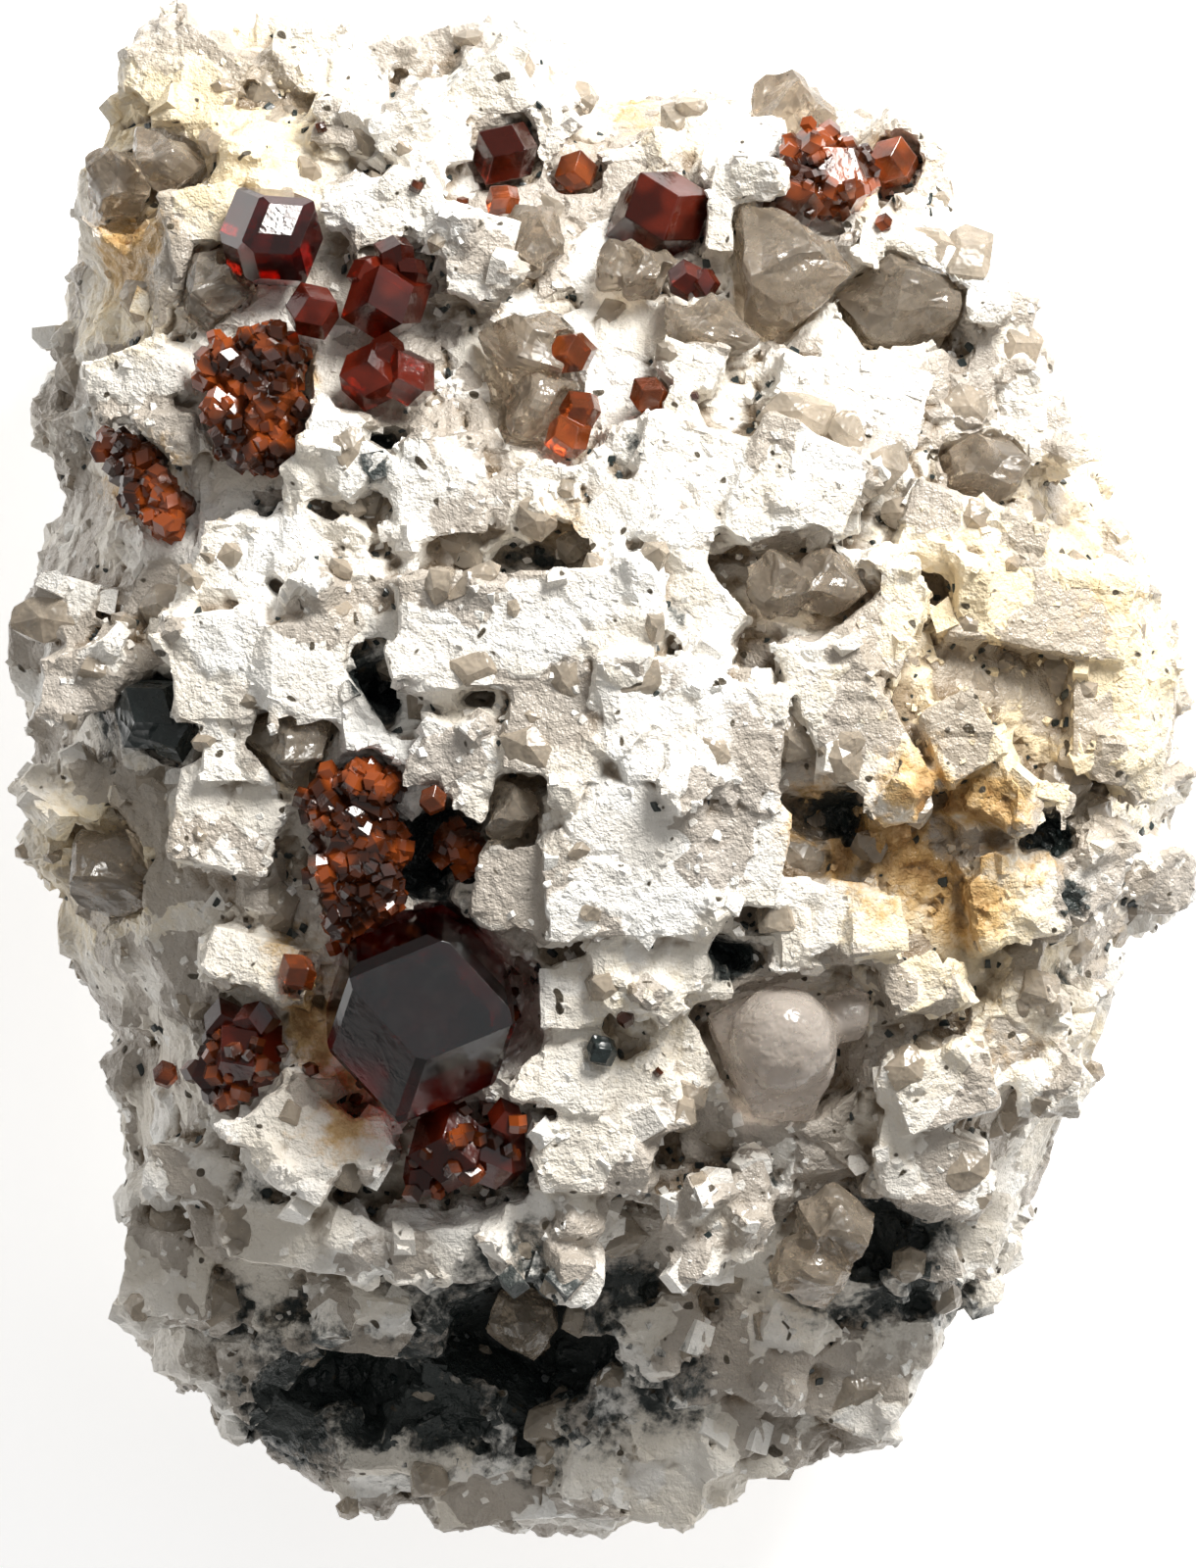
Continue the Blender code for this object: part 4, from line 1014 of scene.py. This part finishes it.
# %% Quartz grains
THICK_SHARE, SUNK_SHARE, LEAN_SHARE = 0.7, 0.26, 0.6
UP = Vector((0, 0, 1))
grain_chance = random.Random(41)
grains_bm = bmesh.new()
for x, y, wide, tall, turn in QUARTZ_GRAINS:
    spot, way = level_ground(x, y, 0.25 * min(wide, tall))
    if spot is None:
        continue
    lean = UP.lerp(way, LEAN_SHARE).normalized()
    size = [wide * MM, tall * MM, THICK_SHARE * min(wide, tall) * MM]
    frame_turn = lean.to_track_quat("Z", "Y").to_matrix() @ Matrix.Rotation(math.radians(turn), 3, "Z")
    place = Matrix.Translation(spot - lean * SUNK_SHARE * size[2])
    placed = place @ (frame_turn @ Matrix.Diagonal(size)).to_4x4()
    add_copy(grains_bm, grain_chance.choice(GRAIN_FORMS), placed)
bmesh.ops.bevel(grains_bm, geom=grains_bm.edges[:], offset=0.06 * MM, segments=1, profile=0.5,
                affect="EDGES", clamp_overlap=True, material=-1)
for spot, way in strewn(rock_mesh, 420, 42):
    wide = grain_chance.uniform(0.8, 2.2) * MM
    if spot.z > BACK + wide and clear_of_crystals(spot, 0.7 * wide):
        size = [wide * grain_chance.uniform(0.7, 1.3) for _ in range(3)]
        form = grain_chance.choice(GRAIN_FORMS)
        add_copy(grains_bm, form, grown_at(spot, way, size, grain_chance, 0.3, 0.3))
grains = piece("quartz_grains", grains_bm, cloudy_quartz)
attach(grains, "root")
print("quartz grains:", len(grains.data.polygons), "faces")

# %% [markdown]
# The black crystals are small, glossy and opaque. Their solids already have the right form, so
# they only get an edge that shines and a black finish.

# %% Black crystals
black_look = Recipe("black mineral")
BLACK, DARK_GREEN = colour(0.01, 0.012, 0.012), colour(0.03, 0.045, 0.045)
tone = black_look.mix(black_look.noise(900), BLACK, DARK_GREEN)
dull = black_look.ramp(black_look.noise(1400), 0.3, 0.7, 0.12, 0.45)
dents = black_look.bump(black_look.cells(1800), 0.15 * MM, 0.7)
black_mineral = black_look.finish(Base_Color=tone, Roughness=dull, Normal=dents)
for node in BLACKS:
    grain = piece("fine_" + node, faceted(node, SMALL_BEVEL), black_mineral)
    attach(grain, "root")
    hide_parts(node)
print("black crystals dressed:", len(BLACKS))

# %% [markdown]
# Dark green-black flakes of mica sit in the crevices of the rock, a few tenths of a millimetre
# wide. They are small flat blocks, strewn all over and kept only where the rock is hollow.

# %% Dark flakes
HOLLOW_ENOUGH = 0.9
FLAKE_WIDTHS, FLAKE_THICKNESS = (0.18, 0.55), 0.4
flakes_bm = bmesh.new()
flake_chance = random.Random(51)
all_hollows = hollow + 0.8 * deep
for spot, way in strewn(rock_mesh, 9000, 52):
    low = all_hollows[skin_tree.find(spot)[1]] > HOLLOW_ENOUGH
    if low and spot.z > BACK and clear_of_crystals(spot, 0.3 * MM):
        wide = flake_chance.uniform(*FLAKE_WIDTHS) * MM
        size = [wide, wide * flake_chance.uniform(0.5, 1), wide * FLAKE_THICKNESS]
        form = flake_chance.choice(BLOCK_FORMS)
        add_copy(flakes_bm, form, grown_at(spot, way, size, flake_chance, 0.6, -0.1))
flakes = piece("dark_flakes", flakes_bm, black_mineral)
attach(flakes, "root")
print("dark flakes:", len(flakes.data.polygons), "faces")

# %% [markdown]
# Garnets too small for a solid of their own are scattered near the large ones: x, y and width in
# millimetres. The crusts and clusters are covered with small crystals, so many on each node.

# %% Where the small garnets are
SMALL_GARNETS = [
    (-9.15, 30.05, 0.6), (-6.85, 29.3, 0.6), (4.75, 19.3, 0.45), (-12.15, -15.7, 0.6), (-11.25, 0.95, 1.3),
    (-4.2, -10.6, 0.9), (-4.1, -11.5, 0.8), (1.4, -11.6, 0.8), (3.0, -14.4, 0.4), (-13.2, -8.2, 0.7),
    (-19.0, -16.2, 0.8), (-5.4, -16.2, 0.9), (-14.4, -14.4, 0.7), (-10.2, -2.0, 1.0), (-8.6, -16.6, 0.6),
    (-14.0, 33.2, 0.5), (14.4, 28.2, 0.8), (-18.2, 24.8, 0.9), (-16.9, 15.9, 0.8),
]
DRUSE_CRYSTALS = {
    "upper_left_druse": 240, "far_left_druse": 130, "middle_druse": 300, "top_right_garnets": 90,
    "hollow_garnets": 30, "left_cluster": 40, "lower_cluster": 30,
}
print(len(SMALL_GARNETS), "placed, up to", sum(DRUSE_CRYSTALS.values()), "on the crusts")

# %% [markdown]
# All of them have the garnet's twelve rhombic faces. One cube is cut to that form, and the rest
# are its copies, turned any way, as in a real crust. None is set on a face that looks down.

# %% Small garnets
def garnet_form():
    """A unit garnet: a cube cut by the twelve planes of its rhombic faces."""
    bm = bmesh.new()
    bmesh.ops.create_cube(bm, size=4.0)
    for axis in range(3):
        for first in (-1, 1):
            for second in (-1, 1):
                normal = [first, second]
                normal.insert(axis, 0)
                cut_away(bm, normal, 0.5)
    return mesh_of("garnet form", bm)


RAISED_SHARE = 0.15
CRUST_WIDTHS = (0.5, 1.1)
GARNET_FORM = garnet_form()
gem_chance = random.Random(61)
gems_bm = bmesh.new()


def any_turn(chance):
    return Euler([chance.uniform(0, math.tau) for _ in range(3)]).to_matrix()


for x, y, wide in SMALL_GARNETS:
    spot, way = ground(x, y)
    turn = (any_turn(gem_chance) * wide * MM).to_4x4()
    add_copy(gems_bm, GARNET_FORM, Matrix.Translation(spot + way * RAISED_SHARE * wide * MM) @ turn)
for node, count in DRUSE_CRYSTALS.items():
    for spot, way in strewn(NODES[node].data, count, 62):
        if way.z > -0.2:
            turn = (any_turn(gem_chance) * gem_chance.uniform(*CRUST_WIDTHS) * MM).to_4x4()
            add_copy(gems_bm, GARNET_FORM, Matrix.Translation(spot) @ turn)
gems = piece("small_garnets", gems_bm, crust_garnet)
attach(gems, "root")
print("small garnets:", len(gems.data.polygons), "faces")

# %% [markdown]
# The photograph is a bright studio picture. The specimen lies on a plain pale floor, which glows a
# little, so that it stays nearly white wherever the lamps don't reach.

# %% Floor
FLOOR_SIZE = 1.2
floor_bm = bmesh.new()
bmesh.ops.create_grid(floor_bm, x_segments=8, y_segments=8, size=FLOOR_SIZE)
floor_look = Recipe("pale floor")
paper = floor_look.mix(floor_look.noise(8), colour(0.93, 0.93, 0.93), colour(0.90, 0.90, 0.90))
pale = floor_look.finish(Base_Color=paper, Roughness=0.9, Emission_Color=colour(1.0, 1.0, 1.0),
                         Emission_Strength=0.6)
floor = piece("floor", floor_bm, pale)
floor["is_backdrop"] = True
print("floor:", 2 * FLOOR_SIZE, "m wide")

# %% [markdown]
# The light comes from the photograph's top and a little from the right. A soft lamp gives that,
# and a weak one overhead is mirrored by the top face of the largest garnet, which makes it slate
# grey. The pale world fills the shadows.

# %% Light
def soft_lamp(name, way, distance, size, power, tint):
    """A round lamp that stands this way from the middle and shines back at it."""
    lamp = bpy.data.objects.new(name, bpy.data.lights.new(name, "AREA"))
    lamp.data.shape = "DISK"
    lamp.data.size = size
    lamp.data.energy = power
    lamp.data.color = tint
    direction = Vector(way).normalized()
    lamp.location = direction * distance
    lamp.rotation_euler = direction.to_track_quat("Z", "Y").to_euler()
    bpy.context.scene.collection.objects.link(lamp)
    return lamp


soft_lamp("key", way=(0.40, 0.68, 0.61), distance=0.34, size=0.16, power=2.05, tint=(1.0, 0.98, 0.94))
soft_lamp("overhead", way=(0.30, 0.20, 0.93), distance=0.8, size=0.40, power=0.25, tint=(0.90, 0.95, 1.0))
WORLD_STRENGTH = 0.33
world = bpy.data.worlds.new("studio")
bpy.context.scene.world = world
world.use_nodes = True
world.node_tree.nodes["Background"].inputs["Color"].default_value = colour(1.0, 0.98, 0.95)
world.node_tree.nodes["Background"].inputs["Strength"].default_value = WORLD_STRENGTH
bpy.context.scene.view_settings.view_transform = "Standard"
print("lamps:", len(bpy.data.lights), "world strength:", WORLD_STRENGTH)

# %% [markdown]
# The camera looks straight down at the display face. It stands far off with a long lens, so that
# near and far parts keep their sizes, and it takes in 80 mm from top to bottom.

# %% Camera
FRAME_TALL = 80.0 * MM
FACE_LEVEL = 20 * MM
LENS, SENSOR = 300.0, 36.0
camera = bpy.data.objects.new("camera", bpy.data.cameras.new("camera"))
camera.data.lens = LENS
camera.data.sensor_fit = "VERTICAL"
camera.data.sensor_height = SENSOR
camera.data.clip_start = 0.01
camera.location = (0, 0, FACE_LEVEL + FRAME_TALL * LENS / SENSOR)
bpy.context.scene.collection.objects.link(camera)
bpy.context.scene.camera = camera
print("camera is", round(camera.location.z, 3), "m above the floor")

# %% Sizes and finish
sizes = {"cad": [list(corner) for corner in cad_box], "visual": [list(corner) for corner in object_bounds()]}
for box_name, box in sizes.items():
    print(box_name, "box in mm:", [round(value / MM, 2) for corner in box for value in corner])
